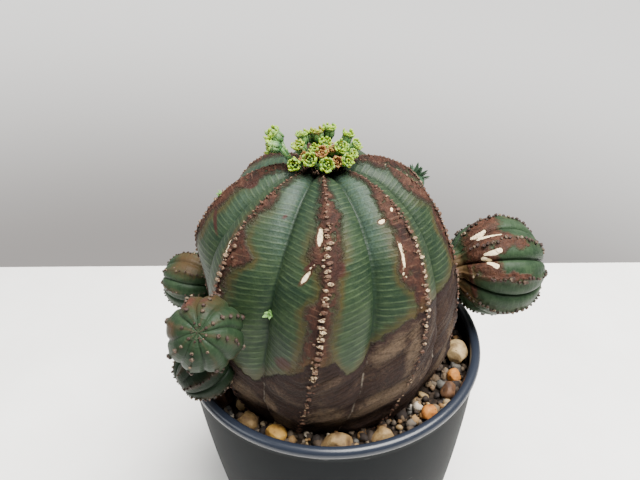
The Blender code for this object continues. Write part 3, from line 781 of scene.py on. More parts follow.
def grit_finish():
    f = Finish("grit", Specular_IOR_Level=0.35)
    speck = f.noise(0.5, 4.0, 0.7)
    shade = f.mark("shade") + (speck - 0.5) * 0.12
    colour = darkest = GRIT_COLOURS[0][1]
    for (low, _), (high, after) in zip(GRIT_COLOURS, GRIT_COLOURS[1:]):
        colour = f.blend(shade.step(low, high), colour, after)
    colour = f.blend(f.mark("tip").step(0.7, 0.1) * 0.5, colour, darkest)
    return f.finish(colour, 0.72 + speck * 0.2, speck, 0.18, 0.8)


def mix_finish():
    f = Finish("growing_mix", Specular_IOR_Level=0.2)
    crumb, speck = f.noise(1.6, 6.0, 0.7), f.noise(0.6, 3.0)
    flecks = speck.step(0.68, 0.76) * 0.6
    colour = f.coats(MIX_DARK, (crumb.step(0.3, 0.75), MIX_BROWN), (flecks, MIX_FLECK))
    return f.finish(colour, 0.95, crumb, 1.0)


def random_turns(random, count):
    """Evenly spread random turns, as the three axes of each: the orthogonal factor of a random matrix."""
    turns, _ = np.linalg.qr(random.normal(size=(count, 3, 3)))
    return turns * np.sign(np.linalg.det(turns))[:, None, None]


def make_grit():
    """The mix's finish, a wavy ring of ground from stem to wall, and grains strewn clear of the stones."""
    mix = mix_finish()
    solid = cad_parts["growing_mix"]
    solid.data.materials.clear()
    solid.data.materials.append(mix)
    around = np.arange(220) * tau / 220
    wall = pot_radius(GRIT_TOP) - POT_WALL - 0.05
    inner = foot_radius(around, GRIT_TOP) - 1.5
    across = np.linspace(0, 1, 16)[:, None]
    radius = inner + (wall - inner) * across
    x, y = radius * np.sin(around), -radius * np.cos(around)
    top = GRIT_TOP - 0.8 + 0.55 * lumps(x * 0.9, y * 0.9, 8) + 0.35 * lumps(x * 2.4, y * 2.4, 9)
    upper = np.stack([x, y, top], -1)
    lower = upper[::-1] * [1, 1, 0] + [0, 0, GRIT_TOP - GRIT_DEPTH]
    points = np.concatenate([upper, lower])
    faces = net_faces(len(points), len(around), poles=False)
    ring = np.arange(len(around))
    after = (ring + 1) % len(ring)
    last = (len(points) - 1) * len(around)
    faces += np.stack([last + ring, last + after, after, ring], -1).tolist()
    piece_from("grit_ground", points, faces, mix, ["grit_bed"])
    random = np.random.default_rng(31)
    azimuth = random.uniform(-pi, pi, GRAIN_COUNT)
    size = GRAIN_LEAST + GRAIN_SPREAD * random.uniform(0, 1, GRAIN_COUNT) ** 2.2
    near, far = foot_radius(azimuth, GRIT_TOP) + 0.2, wall - size * 0.9
    reach = near + (far - near) * random.uniform(0, 1, GRAIN_COUNT)
    x, y = reach * np.sin(azimuth), -reach * np.cos(azimuth)
    z = GRIT_TOP - 0.4 + random.uniform(-0.3, 0.9, GRAIN_COUNT) + 0.2 * size
    clear = np.ones(GRAIN_COUNT, bool)
    for _, turn, distance, halves in STONES.values():
        away = np.hypot(x - distance * sin(radians(turn)), y + distance * cos(radians(turn)))
        clear &= away > 0.62 * (halves[0] + halves[1]) / 2 + 0.5 * size
    places = np.stack([x, y, z], -1)[clear]
    kept = len(places)
    sizes = size[clear][:, None] * random.uniform(0.65, 1.1, (kept, 3))
    shade = random.uniform(0, 1, kept) ** 1.35
    scatter(
        "grit_grains", stone_net(4, 7), places, random_turns(random, kept), sizes,
        grit_finish(), marks={"shade": shade}, dents=0.22, seed=6,
    )


# Stones
# The largest pieces of the dressing: water-worn stones of five to eleven millimetres in pale tan, yellow,
# orange and brown, some with pits. They lie on the grit by their own weight.

# Each stone's colour, azimuth in degrees, distance from the pot's axis, and half sizes
STONES = {
    "stone_right_pale": ("pale", 79, 45.0, (5.4, 3.7, 4.2)),
    "stone_right_small": ("orange", 66, 45.2, (2.6, 2.3, 2.4)),
    "stone_right_brown": ("brown", 57, 45.4, (3.2, 2.5, 2.4)),
    "stone_front_right_orange": ("orange", 42, 45.0, (2.6, 2.3, 2.2)),
    "stone_front_right": ("tan", 19, 44.9, (3.7, 2.9, 3.0)),
    "stone_front_large": ("tan", 1, 44.8, (5.2, 2.9, 3.2)),
    "stone_front_left_yellow": ("yellow", -24, 44.6, (3.5, 2.8, 2.7)),
    "stone_left_tan": ("tan", -38, 44.8, (3.7, 2.7, 2.6)),
    "stone_left_brown": ("brown", -54, 45.0, (3.2, 2.5, 4.0)),
    "stone_back": ("tan", 168, 44.6, (4.2, 2.8, 2.8)),
    "stone_back_left": ("brown", -140, 44.8, (3.6, 2.6, 2.6)),
}

# Each colour's body, darks and lights
STONE_COLOURS = {
    "pale": ((0.32, 0.225, 0.105), (0.12, 0.072, 0.030), (0.44, 0.35, 0.21)),
    "tan": ((0.20, 0.125, 0.048), (0.075, 0.040, 0.017), (0.36, 0.26, 0.13)),
    "yellow": ((0.42, 0.235, 0.045), (0.20, 0.095, 0.02), (0.56, 0.40, 0.15)),
    "orange": ((0.34, 0.125, 0.018), (0.16, 0.05, 0.009), (0.46, 0.24, 0.06)),
    "brown": ((0.095, 0.042, 0.016), (0.030, 0.014, 0.008), (0.19, 0.10, 0.042)),
}


def stone_finish(colour):
    body, dark, light = STONE_COLOURS[colour]
    f = Finish(f"stone_{colour}", Specular_IOR_Level=0.4)
    cloud, grain = f.noise(3.2, 4.0, 0.6), f.noise(0.6, 4.0, 0.65)
    pits = f.cells(1.9, out="F1").step(0.20, 0.09) * f.noise(3.0).step(0.48, 0.6)
    lit = (cloud * 0.6 + grain * 0.4).step(0.54, 0.72) * 0.8
    made = f.coats(dark, (cloud.step(0.30, 0.60), body), (lit, light), (pits * 0.75, dark))
    return f.finish(made, 0.62 + grain * 0.2, grain * 0.4 + cloud * 0.5 - pits * 0.9, 0.5, 0.8)


def upright_turn(angle):
    """The turn of rows of points about the upright axis."""
    return np.array([[cos(angle), sin(angle), 0], [-sin(angle), cos(angle), 0], [0, 0, 1]])


def make_stone(index, name, colour, azimuth, distance, halves, finish):
    """A unit ball worn flat on six seeded sides, roughened by sine waves, and laid flat side down."""
    random = np.random.default_rng(index + 40)
    net = stone_net(34, 48)
    for flat in unit(random.normal(size=(6, 3))):
        net = net - np.maximum(net @ flat - random.uniform(0.66, 0.8), 0)[..., None] * flat * 0.85
    x, y, z = np.moveaxis(net, -1, 0)
    rough = 0.05 * lumps(x * 3.1, y * 3.1 + z * 2.3, index) + 0.022 * lumps(x * 8 + z * 5, y * 8, index + 9)
    net = net * (1 + rough)[..., None]
    net[..., 2] = np.where(net[..., 2] < -0.5, -0.5 + (net[..., 2] + 0.5) * 0.2, net[..., 2])
    a = radians(azimuth)
    net = net * np.array(halves) * 1.06 @ upright_turn(a)
    place = [distance * sin(a), -distance * cos(a), GRIT_TOP + 0.2 + 0.55 * halves[2]]
    net_piece(f"{name}_worn", net + place, finish, [name])


make_grit()
stone_finishes = {colour: stone_finish(colour) for colour in STONE_COLOURS}
for stone_index, (stone_name, stone_facts) in enumerate(STONES.items()):
    make_stone(stone_index, stone_name, *stone_facts, stone_finishes[stone_facts[0]])


# Offsets
# Four young balls that bud from the stem's sides, each with eight ribs that swell between deep creases and a
# row of warts on each rib. Their skin is greener than the stem's, flushed red-brown where the sun reaches it.

# Each offset's centre, ways of its apex and of its first rib, radius, half length, sway and furrow
OFFSETS = {
    "offset_left_back": ((-51.8, 11.0, 105.4), (-0.96, 0.22, 0.1), (0, -0.58, 0.81), 10.4, 10.2, 0.06, 0.14),
    "offset_left_front": ((-32.6, -44.2, 128.4), (0.02, -0.72, 0.70), (0.9, 0.3, 0.3), 9.7, 9.1, 0.26, 0.13),
    "offset_left_low": ((-38.6, -32.6, 104.4), (-0.72, -0.52, -0.28), (0.0, 0.3, -0.9), 9.0, 9.0, 0.08, 0.12),
    "offset_right": ((59.2, 9.2, 109.5), (0.97, 0.14, -0.10), (0.0, -0.94, 0.34), 17.4, 16.2, 0.02, 0.14),
}

# Of each offset: the neck's reach, the warts' spacing and half width, and how much painted shade
# darkens its skin
OFFSET_SURFACE = {
    "offset_left_back": (16, 1.5, 0.42, 0.30),
    "offset_left_front": (19, 2.4, 0.58, 0.60),
    "offset_left_low": (15, 1.4, 0.42, 1.45),
    "offset_right": (24, 1.5, 0.70, 0.10),
}
OFFSET_RIBS = 8
NECK_RINGS = 8
APEX_DOTS = 16
CRUST_RISE = 0.18
YOUNG_DARK = (0.0100, 0.0235, 0.0105)
YOUNG_MID = (0.0315, 0.0560, 0.0265)
YOUNG_BAND = (0.042, 0.068, 0.032)
# Dark green of the painted shade on offsets that lie in shadow
YOUNG_PAINTED_SHADE = (0.0050, 0.0120, 0.0048)
BLUSH = (0.078, 0.0265, 0.0160)
CRUST_PALE = (0.15, 0.080, 0.055)
BLUSH_DARK = (0.033, 0.0105, 0.0080)
SUN_TAN = (0.074, 0.034, 0.0135)
WART_PINK = (0.034, 0.0120, 0.0085)

# Sun flush and tan on the offsets: middle and reach in millimetres
BLUSHES = (
    ((50.5, 6.0, 124.0), 7.0), ((54.0, 5.5, 126.0), 5.0), ((50.0, 2.0, 121.4), 5.0),
    ((51.5, -1.5, 119.5), 5.0), ((53.0, 12.0, 126.0), 6.5), ((58.5, 2.0, 125.8), 3.6),
    ((63.0, 1.0, 124.5), 2.8), ((55.0, -5.5, 116.7), 2.6), ((60.0, -6.8, 116.3), 2.2),
    ((53.0, -4.0, 117.8), 4.4), ((56.5, -0.5, 124.0), 2.6), ((53.6, 9.6, 125.8), 5.0),
    ((-37.0, -42.0, 138.6), 3.2), ((-32.0, -42.0, 139.5), 2.2), ((-42.0, -46.0, 126.0), 1.6),
)
TANS = (
    ((44.0, 0.5, 113.5), 8.5), ((46.0, -2.0, 106.0), 6.0), ((-24.0, -48.0, 122.0), 4.5),
    ((-33.0, -40.0, 139.0), 8.5), ((-50.0, 8.0, 116.5), 8.5), ((-40.0, -48.0, 133.0), 3.0),
)

# Brown ring round the right offset, and its torn skin: ends of each stroke, then its half width at each end
RINGS = (
    ((47.2, 7.1, 118.2), (47.4, 1.7, 117.0), 1.2, 1.1), ((47.4, 1.7, 117.0), (47.9, -1.6, 114.2), 1.1, 1.2),
    ((47.9, -1.6, 114.2), (48.6, -2.9, 109.9), 1.2, 1.2), ((48.6, -2.9, 109.9), (49.6, -3.9, 107), 1.2, 1.3),
    ((49.6, -3.9, 107.0), (51.3, -0.7, 99.8), 1.3, 0.8), ((56.0, -6.4, 116.0), (68.0, -6.6, 116.0), 1.5, 1.0),
    ((57.5, 1.5, 126.0), (68.0, 0.5, 123.5), 1.3, 0.8),
)
TEARS = (
    ((48.9, 7.9, 122.3), (51.3, 7.0, 124.0), 0.5, 1.5), ((51.3, 7.0, 124.0), (53.2, 8.3, 124.8), 1.6, 0.7),
    ((50.6, 5.4, 123.6), (53.0, 4.4, 125.0), 0.8, 0.5), ((53.0, 4.4, 125.0), (57.7, 3.9, 126.2), 0.5, 0.22),
    ((51.6, -0.6, 121.2), (54.4, -1.2, 122.4), 0.5, 1.1), ((54.4, -1.2, 122.4), (56.2, -1.1, 123), 1.1, 0.9),
    ((51.3, -0.8, 119.7), (53.4, -1.2, 119.6), 1, 0.9), ((52.5, -2.1, 119.1), (54.8, -4.3, 118.9), 0.7, 0.9),
)


def axes_along(direction, towards):
    """Three square axes: across, beside and along direction, with across turned towards a given way."""
    along = unit(np.array(direction))
    across = unit(np.array(towards) - np.dot(towards, along) * along)
    return np.array([across, np.cross(along, across), along])


def offset_point(rib, down, centre, direction, towards, radius, half_length, sway, furrow):
    """A ribbed ball: sine and cosine of the angle down from its apex, sunk between its rounded ribs."""
    axes = axes_along(direction, towards)
    share = rib_share(rib)
    depth = furrow * radius * np.clip(0.12 + 0.9 * down, 0, 1)
    lift = -depth * (0.14 * share**2 + 0.56 * share**5 + 0.30 * share**26) + 0.02 * radius
    lift = lift + 0.45 * np.exp(-((share * radius / 2.2) ** 2)) * np.clip(down - 0.3, 0, 1)
    angle = rib * tau / OFFSET_RIBS
    seed = int(radius * 9)
    lift = lift + 0.02 * radius * lumps(3 * np.cos(angle) + down, 3 * np.sin(angle) + down, int(radius * 10))
    angle = angle + sway * lumps(3 * np.cos(angle), 3 * np.sin(angle), seed + 1)
    angle = angle + 0.5 * sway * lumps(down * 3.0, down * 0.0, seed + 2)
    across, along = (radius + lift) * np.sin(down), (half_length + lift) * np.cos(down)
    along = along - 0.10 * half_length * np.exp(-((down / 0.35) ** 2))
    local = np.stack([across * np.cos(angle), across * np.sin(angle), along + 0 * across], -1)
    outward = [np.sin(down) * np.cos(angle), np.sin(down) * np.sin(angle), np.cos(down) + 0 * angle]
    return local @ axes + np.array(centre), np.stack(outward, -1) @ axes


def ball_field(points, balls):
    """1 in the middle of each ball, 0 on its edge and less outside."""
    field = np.full(points.shape[:-1], -3.0)
    for middle, reach in balls:
        field = np.maximum(field, 1 - np.linalg.norm(points - np.array(middle), axis=-1) / reach)
    return field


def stroke_field(points, strokes):
    """1 along the middle of each tapering stroke, 0 on its edge and less outside."""
    field = np.full(points.shape[:-1], -3.0)
    for first, last, wide, narrow in strokes:
        start, way = np.array(first), np.array(last) - np.array(first)
        share = np.clip((points - start) @ way / (way @ way), 0, 1)
        away = np.linalg.norm(points - start - share[..., None] * way, axis=-1)
        field = np.maximum(field, 1 - away / (wide + (narrow - wide) * share))
    return field


def offset_finish():
    f = Finish("offset_skin", Specular_IOR_Level=0.12)
    share, growth = f.mark("rib_share"), f.mark("growth")
    fine, soft, large = f.noise(0.6, 3.0), f.noise(2.0, 4.0), f.noise(8.0, 4.0, 0.6)
    ragged = f.noise(1.8, 5.0, 0.65) - 0.5
    mottle = f.noise(2.6, 5.0, 0.7)
    tone = large.step(0.32, 0.68) * 0.5 + (fine - 0.5) * 0.6 + (mottle - 0.5) * 2.2 + 0.2
    line = abs((growth + soft * 0.5).remainder(1.0) - 0.5)
    flush = (f.mark("blush") + ragged * 0.9).step(-0.12, 0.36)
    crusty = f.noise(1.2, 6.0, 0.75)
    rust = f.coats(
        BLUSH_DARK,
        ((crusty * 0.7 + soft * 0.4).step(0.46, 0.68), BLUSH),
        ((crusty + large * 0.2).step(0.70, 0.86) * 0.8, CRUST_PALE),
    )
    keel = (0.34 - share + ragged * 0.9).step(-0.1, 0.3) * large.step(0.35, 0.65)
    torn = f.mark("tear") + ragged * 0.9
    colour = f.coats(
        YOUNG_DARK,
        (tone, YOUNG_MID),
        (line.step(0.34, 0.49) * 0.12 * share.step(0.95, 0.8), YOUNG_BAND),
        # Painted shade in the creases between the ribs
        (share.step(0.90, 0.99) * 0.5, YOUNG_DARK),
        ((f.mark("tan") + ragged * 0.9).step(-0.1, 0.7) * 0.75, SUN_TAN),
        # Painted shade: each offset darkens by how deep in shadow it lies
        (f.mark("painted_shade") * (0.55 + soft * 0.5), YOUNG_PAINTED_SHADE),
        (flush * 0.85, rust),
        (keel * 0.25, BLUSH),
        (torn.step(-0.3, 0.0) * 0.7, BLUSH_DARK),
        (torn.step(0.05, 0.22), SCAR_CREAM),
    )
    relief = flush * (crusty * 0.55 + soft * 0.5) + fine * 0.2 + line.step(0.36, 0.49) * 0.06
    relief = relief - torn.step(-0.3, 0.2) * 0.6
    return f.finish(colour, 0.42 + fine * 0.15 + flush * 0.05, relief, 0.55)


def towards_stem(place):
    """The level way from a place straight to the stem's axis."""
    return unit(np.array([STEM_AXIS[0] - place[0], STEM_AXIS[1] - place[1], 0.0]))


def make_offset(name, facts, reach, spacing, wart, painted_shade, skin, warts):
    """A ribbed ball, crusted where it is flushed, with a neck that narrows into the stem, and its warts."""
    centre, radius = facts[0], facts[3]
    per_rib, rows = round(2.2 * radius), round(11 * radius)
    angle = np.linspace(0.02, pi - 0.4, rows)
    down, rib = np.meshgrid(angle, np.arange(per_rib * OFFSET_RIBS) / per_rib, indexing="ij")
    net, outward = offset_point(rib, down, *facts)
    flushed = np.maximum(ball_field(net, BLUSHES), stroke_field(net, RINGS))
    crust = CRUST_RISE * lumps(rib * radius * 1.5, down * radius * 2.0, 4, 9)
    crust = crust * np.clip(flushed * 4, 0, 1) * np.sin(down)
    net = net + outward * crust[..., None]
    root = np.array(centre) + towards_stem(centre) * reach
    neck = (net[-1] - net[-1].mean(0)) * 0.75 + root
    steps = np.linspace(0, 1, NECK_RINGS + 1)[1:, None, None]
    net = np.concatenate([net, net[-1] + (neck - net[-1]) * steps])
    down, rib = (np.concatenate([grid, np.repeat(grid[-1:], NECK_RINGS, 0)]) for grid in (down, rib))
    marks = {
        "rib_share": rib_share(rib),
        "growth": down * radius / 2.0,
        "blush": np.maximum(ball_field(net, BLUSHES), stroke_field(net, RINGS)),
        "tear": stroke_field(net, TEARS),
        "tan": ball_field(net, TANS),
        "painted_shade": np.full(net.shape[:2], painted_shade),
    }
    net_piece(f"{name}_skin", net, skin, [name], marks, flip=True)
    random = np.random.default_rng(int(radius * 7))
    spacing = spacing / radius
    at = np.arange(0.24, pi - 0.6, spacing)
    down, rib = np.meshgrid(at, np.arange(OFFSET_RIBS, dtype=float), indexing="ij")
    down, rib = down.ravel() + random.uniform(-0.3, 0.3, down.size) * spacing, rib.ravel()
    kept = random.uniform(0, 1, down.size) < 0.9
    down, rib = down[kept], rib[kept] + random.uniform(-0.06, 0.06, kept.sum())
    down = np.concatenate([down, random.uniform(0.02, 0.26, APEX_DOTS)])
    rib = np.concatenate([rib, random.uniform(0, OFFSET_RIBS, APEX_DOTS)])
    places, outward = offset_point(rib, down, *facts)
    ahead, _ = offset_point(rib, down + 0.02, *facts)
    size = random.uniform(0.7, 1.15, len(down)) * np.clip(0.45 + down, 0.5, 1.0) * wart
    size[-APEX_DOTS:] *= 0.6
    scatter(
        f"{name}_warts", bead_net(), places, tangent_axes(outward, ahead - places),
        size[:, None] * [1.0, 0.88, 1.05], warts,
        marks={"luck": random.uniform(0, 0.5, len(down))}, dents=0.22, seed=8, flip=True,
    )


# The young warts run from the painted shade's dark green at their foot to pink on top
young_skin, young_warts = offset_finish(), wart_finish("young_warts", YOUNG_PAINTED_SHADE, WART_PINK)
for offset_name, offset_facts in OFFSETS.items():
    make_offset(offset_name, offset_facts, *OFFSET_SURFACE[offset_name], young_skin, young_warts)


# Flowers
# A crown of tiny flower cups on short branching stalks. Each cup is a fleshy green tube that opens into a
# ring of yellow-green glands round a darker middle, and dries to orange-brown. Oval bracts clothe the stalks.

# Of each cup: its place, its way, its radius and its age from fresh to dry
SPRAYS = {
    "flower_spray_left": (
        ((-15.6, 0.0, 165.1), (-0.62, -0.1, 0.75), 2.5, 0.1),
        ((-16.6, -2.0, 162.3), (-0.95, -0.2, 0.3), 2.3, 0.1),
        ((-9.4, -8.2, 158.9), (-0.45, -0.75, 0.45), 1.9, 0.2),
    ),
    "flower_spray_middle_left": (
        ((-7.2, 1.0, 164.2), (-0.12, 0.1, 1.0), 2.0, 0.3),
        ((-8.2, -3.0, 162.4), (-0.35, -0.4, 0.85), 1.9, 0.45),
    ),
    "flower_spray_middle": (
        ((-2.6, 1.0, 165.0), (-0.1, 0.05, 1.0), 1.9, 0.55),
        ((0.9, 2.4, 165.4), (0.12, 0.0, 1.0), 2.0, 0.3),
        ((-0.6, -2.6, 162.6), (0.05, -0.45, 0.9), 2.0, 0.2),
    ),
    "flower_heads_front": (
        ((-5.0, -8.2, 160.2), (-0.25, -0.75, 0.6), 2.1, 0.1),
        ((-0.2, -9.5, 159.0), (0.0, -0.85, 0.5), 2.1, 0.12),
        ((-1.6, -6.0, 161.4), (0.0, -0.6, 0.8), 1.9, 0.95),
    ),
    "flower_spray_right": (
        ((4.0, -4.4, 162.2), (0.3, -0.6, 0.75), 2.1, 0.1),
        ((6.3, 2.0, 163.4), (0.35, 0.1, 0.93), 1.9, 0.1),
        ((8.6, -1.2, 161.4), (0.7, -0.15, 0.7), 1.9, 0.15),
        ((5.6, -7.8, 159.4), (0.4, -0.75, 0.5), 1.9, 0.1),
    ),
}
LOOSE_HEADS = (
    ((-6.4, -6.4, 160.3), (-0.5, -0.5, 0.7), 1.5, 0.95), ((2.6, -8.2, 159.3), (0.3, -0.8, 0.5), 1.6, 1.0),
    ((7.4, -5.0, 160.3), (0.6, -0.5, 0.6), 1.5, 0.3), ((1.6, -4.0, 161.6), (0.2, -0.4, 0.9), 1.4, 0.9),
    ((-4.6, 3.8, 163.6), (-0.2, 0.5, 0.9), 1.6, 0.2), ((-3.6, -5.0, 162.0), (-0.3, -0.5, 0.8), 1.4, 0.3),
)
CUP_LENGTH = 3.4
CUP_LOBES = 6
CUP_SIDE = (0.3, 0.7, 0.2)

# A spray's root: its height, and its place as a share of the middle of the cups
STALK_HEIGHT = 153.0
STALK_SPREAD = 0.55
STALK_RADIUS = 0.72
STALK_SIDE = (0.9, 0.3, 0.1)
BRACT_COUNT = 5
GLANDS, INNER_GLANDS, CUP_SCALES = 9, 6, 6
FLOWER_GREEN = (0.070, 0.175, 0.035)
FLOWER_DARK = (0.022, 0.070, 0.028)
FLOWER_LIME = (0.225, 0.36, 0.004)
FLOWER_DRY = (0.24, 0.098, 0.028)
FLOWER_PALE = (0.21, 0.35, 0.11)
TUFT_COUNT = 150
TUFT_REACH = 7.0
TUFT_TOP = 156.6
TWIG_BROWN = (0.016, 0.008, 0.006)
TWIG_PALE = (0.16, 0.10, 0.07)


def cup_net(radius):
    """A cup: its radius swells along the tube and opens into lobes, then turns in over a hollow."""
    profile = np.array([
        (0.40, -1.0), (0.56, -0.86), (0.68, -0.62), (0.72, -0.36), (0.78, -0.14), (0.94, 0.02), (1.02, 0.12),
        (0.90, 0.13), (0.66, 0.00), (0.50, -0.16), (0.36, -0.20), (0.20, -0.12), (0.10, 0.04),
    ])
    wide, level = profile[:, :1], profile[:, 1:]
    angle = np.arange(36) * tau / 36
    rim = np.clip((level + 0.3) / 0.35, 0, 1) * (wide > 0.6)
    lobe = 0.09 * np.cos(CUP_LOBES * angle + 40 * radius) + 0.05 * np.cos(11 * angle)
    lobe = 0.05 * np.cos(5 * angle) + rim * lobe
    reach = radius * wide * (1 + lobe)
    along = CUP_LENGTH * (level + 0.5 * np.maximum(lobe, -0.1) * (level > -0.1)) + 0 * angle
    return np.stack([reach * np.cos(angle), reach * np.sin(angle), along], -1)


def stalk_net(path, radius):
    """A round stalk: circles square to a path of points, with a slight swelling at each end."""
    angle = np.arange(10) * tau / 10
    ring = np.stack([np.cos(angle), np.sin(angle), 0 * angle], -1)
    wide = radius * (1 + 0.25 * np.linspace(-1, 1, len(path)) ** 2)
    ways = np.gradient(path, axis=0)
    rings = [size * ring @ axes_along(way, STALK_SIDE) + at for size, way, at in zip(wide, ways, path)]
    return np.array(rings)


def flower_finish():
    f = Finish("flower", Specular_IOR_Level=0.45, Subsurface_Weight=0.12, Subsurface_Scale=0.002)
    age, along = f.mark("age"), f.mark("along")
    grain, soft = f.noise(0.5, 3.0), f.noise(1.6, 3.0)
    body = f.coats(
        FLOWER_DARK,
        (soft.step(0.35, 0.65), FLOWER_GREEN),
        (along.step(0.2, 0.75) * 0.6, FLOWER_PALE),
        (along.step(0.72, 0.95) * (0.55 + soft * 0.8), FLOWER_LIME),
        (along.step(1.02, 1.12) * 0.9, FLOWER_DARK),
        ((age + (soft - 0.5) * 0.6).step(0.3, 0.95) * (0.35 + along.step(0.3, 0.9) * 0.6), FLOWER_DRY),
    )
    return f.finish(body, 0.48 + grain * 0.15, grain * 0.6 + soft * 0.4, 0.2, 0.7)


def closed_nets(name, nets, values, finish, stands_for):
    """Several closed nets in one mesh, each with its numbers per point."""
    points, faces, stored, start = [], [], {key: [] for key in values[0]}, 0
    for net, marks in zip(nets, values):
        faces += [[start + corner for corner in face] for face in net_faces(*net.shape[:2])]
        for key, value in marks.items():
            stored[key].append(with_poles(np.broadcast_to(value, net.shape[:2])))
        points.append(with_poles(net))
        start += len(points[-1])
    stored = {key: np.concatenate(value) for key, value in stored.items()}
    return piece_from(name, np.concatenate(points), faces, finish, stands_for, stored)


def set_round(net, turn, reach, height):
    """A net turned about the upright axis, then moved outwards and up."""
    return net @ upright_turn(turn) + np.array([reach * cos(turn), reach * sin(turn), height])


def cup_with_glands(place, direction, radius, age, random):
    """Nets of a cup and of the glands and scales round it, with how far along the flower each point lies."""
    along = np.concatenate([np.linspace(0, 0.9, 7), np.linspace(1.0, 1.25, 6)])[:, None]
    nets, marks = [cup_net(radius)], [{"along": along, "age": age}]
    for k in range(GLANDS + INNER_GLANDS):
        outer = k < GLANDS
        turn = tau * (k + random.uniform(-0.3, 0.3)) / (GLANDS if outer else INNER_GLANDS)
        reach = radius * (random.uniform(0.68, 1.04) if outer else random.uniform(0.2, 0.5))
        rise = random.uniform(0.06, 0.32) if outer else random.uniform(0.0, 0.16)
        size = radius * (0.25 if outer else 0.20)
        halves = [size * 0.62, size * random.uniform(0.9, 1.3), size * random.uniform(0.8, 1.8)]
        nets.append(set_round(stone_net(4, 8) * halves, turn, reach, CUP_LENGTH * rise))
        marks.append({"along": random.uniform(0.78, 1.0), "age": age * random.uniform(0.6, 1.2)})
    for k in range(CUP_SCALES):
        turn = tau * (k + random.uniform(-0.2, 0.2)) / CUP_SCALES
        halves = [0.16 * radius, 0.36 * radius, 0.46 * CUP_LENGTH * random.uniform(0.8, 1.15)]
        nets.append(set_round(stone_net(7, 8) * halves, turn, 0.68 * radius, -0.42 * CUP_LENGTH))
        marks.append({"along": np.linspace(0.75, 0.15, 7)[:, None], "age": age * 0.6})
    axes = axes_along(direction, CUP_SIDE)
    return [net @ axes + np.array(place) for net in nets], marks


def bracts(path, random):
    """Oval scales that lean outward from a stalk."""
    nets, marks = [], []
    for _ in range(BRACT_COUNT):
        spot = random.integers(1, len(path) - 1)
        turn = random.uniform(0, tau)
        axes = axes_along(path[spot + 1] - path[spot - 1], STALK_SIDE)
        out = axes[0] * cos(turn) + axes[1] * sin(turn)
        lean = axes_along(axes[2] + 0.45 * out, out)
        scale = stone_net(5, 8) * [0.28, 0.55, 1.25] * random.uniform(0.8, 1.2)
        nets.append(scale @ lean + path[spot] + out * STALK_RADIUS * 1.15)
        marks.append({"along": random.uniform(0.45, 0.8), "age": random.uniform(0, 0.3)})
    return nets, marks


def make_spray(name, heads, finish, stands_for):
    """Cups on stalks that bend as squared curves from one root below the middle of the spray."""
    random = np.random.default_rng(len(name) * 3 + len(heads))
    middle = np.mean([head[0] for head in heads], axis=0)
    root = np.array([middle[0] * STALK_SPREAD, middle[1] * STALK_SPREAD, STALK_HEIGHT])
    bend = root + (middle - root) * 0.75
    t = np.linspace(0, 1, 9)[:, None]
    nets, marks = [], []
    for place, direction, radius, age in heads:
        foot = np.array(place) - unit(np.array(direction)) * CUP_LENGTH * 0.9
        path = (1 - t) ** 2 * root + 2 * t * (1 - t) * bend + t**2 * foot
        nets.append(stalk_net(path, STALK_RADIUS))
        marks.append({"along": 0.3, "age": age * 0.3})
        for made in (cup_with_glands(place, direction, radius, age, random), bracts(path, random)):
            nets += made[0]
            marks += made[1]
    closed_nets(name, nets, marks, finish, stands_for)


flower_skin = flower_finish()
for spray_name, spray_heads in SPRAYS.items():
    make_spray(f"{spray_name}_cups", spray_heads, flower_skin, [spray_name])
make_spray("flower_loose_cups", LOOSE_HEADS, flower_skin, [])


def make_crown_tuft():
    """Dry ends of old stalks crowd the dimple under the flowers: thin dark cones that lean outwards."""
    random = np.random.default_rng(77)
    count = TUFT_COUNT
    turn, reach = random.uniform(0, tau, count), TUFT_REACH * np.sqrt(random.uniform(0.02, 1, count))
    height = TUFT_TOP - 0.035 * reach**2
    places = np.stack([STEM_AXIS[0] + reach * np.sin(turn), -reach * np.cos(turn), height], -1)
    lean = [0.8 * np.sin(turn), -0.8 * np.cos(turn), random.uniform(0.4, 1.4, count)]
    axes = tangent_axes(unit(np.stack(lean, -1)), random.normal(size=(count, 3)))
    long = random.uniform(0.8, 2.0, count)
    sizes = np.stack([np.full(count, 0.42), np.full(count, 0.42), long], -1)
    f = Finish("dry_stalks", Specular_IOR_Level=0.3)
    grain = f.noise(0.5)
    colour = f.blend((f.mark("tip") + grain * 0.6).step(0.5, 1.3), TWIG_BROWN, TWIG_PALE)
    scatter(
        "crown_tuft", stone_net(4, 6), places, axes, sizes, f.finish(colour, 0.85, grain, 0.1),
        dents=0.2, seed=5,
    )


make_crown_tuft()


# Sprouts
# The youngest growths: a little ball with a tuft of pointed leaves behind the crown, and two leafy buds no
# longer than three millimetres, one in the front groove and one on the left keel.

SPROUT = ((31.2, 30.6, 133.0), (0.5, 0.55, 0.65), 4.4)
SPROUT_LEAVES = 20

# Of each bud: its rib coordinate, angle down the ball, way, count of leaves and their length
BUDS = ((2.5, 1.165, (-0.25, -0.8, 0.5), 6, 2.1), (0.99, 0.66, (-0.8, -0.1, 0.6), 5, 1.7))
LEAF_SIDE = (0.9, 0.2, 0.1)
LEAF_ROWS = 14
LEAF_GREEN = (0.050, 0.15, 0.030)
LEAF_PALE = (0.17, 0.32, 0.085)
SPROUT_GREEN = (0.010, 0.036, 0.014)
SPROUT_PALE = (0.055, 0.105, 0.060)


def leaf_net(base, aim, side, length, width):
    """A narrow, thin leaf that curls: its half width is a sine that leans to the base."""
    t = np.linspace(0.02, 1, LEAF_ROWS)[:, None]
    angle = np.arange(10) * tau / 10
    wide = width * np.sin(pi * t**0.7) ** 0.8 + 0.06
    curl = wide * 0.4 * np.sin(angle) - 0.16 * length * t**2 + 0 * angle
    local = np.stack([wide * np.cos(angle), curl, length * t + 0 * angle], -1)
    return local @ axes_along(aim, side) + np.array(base)


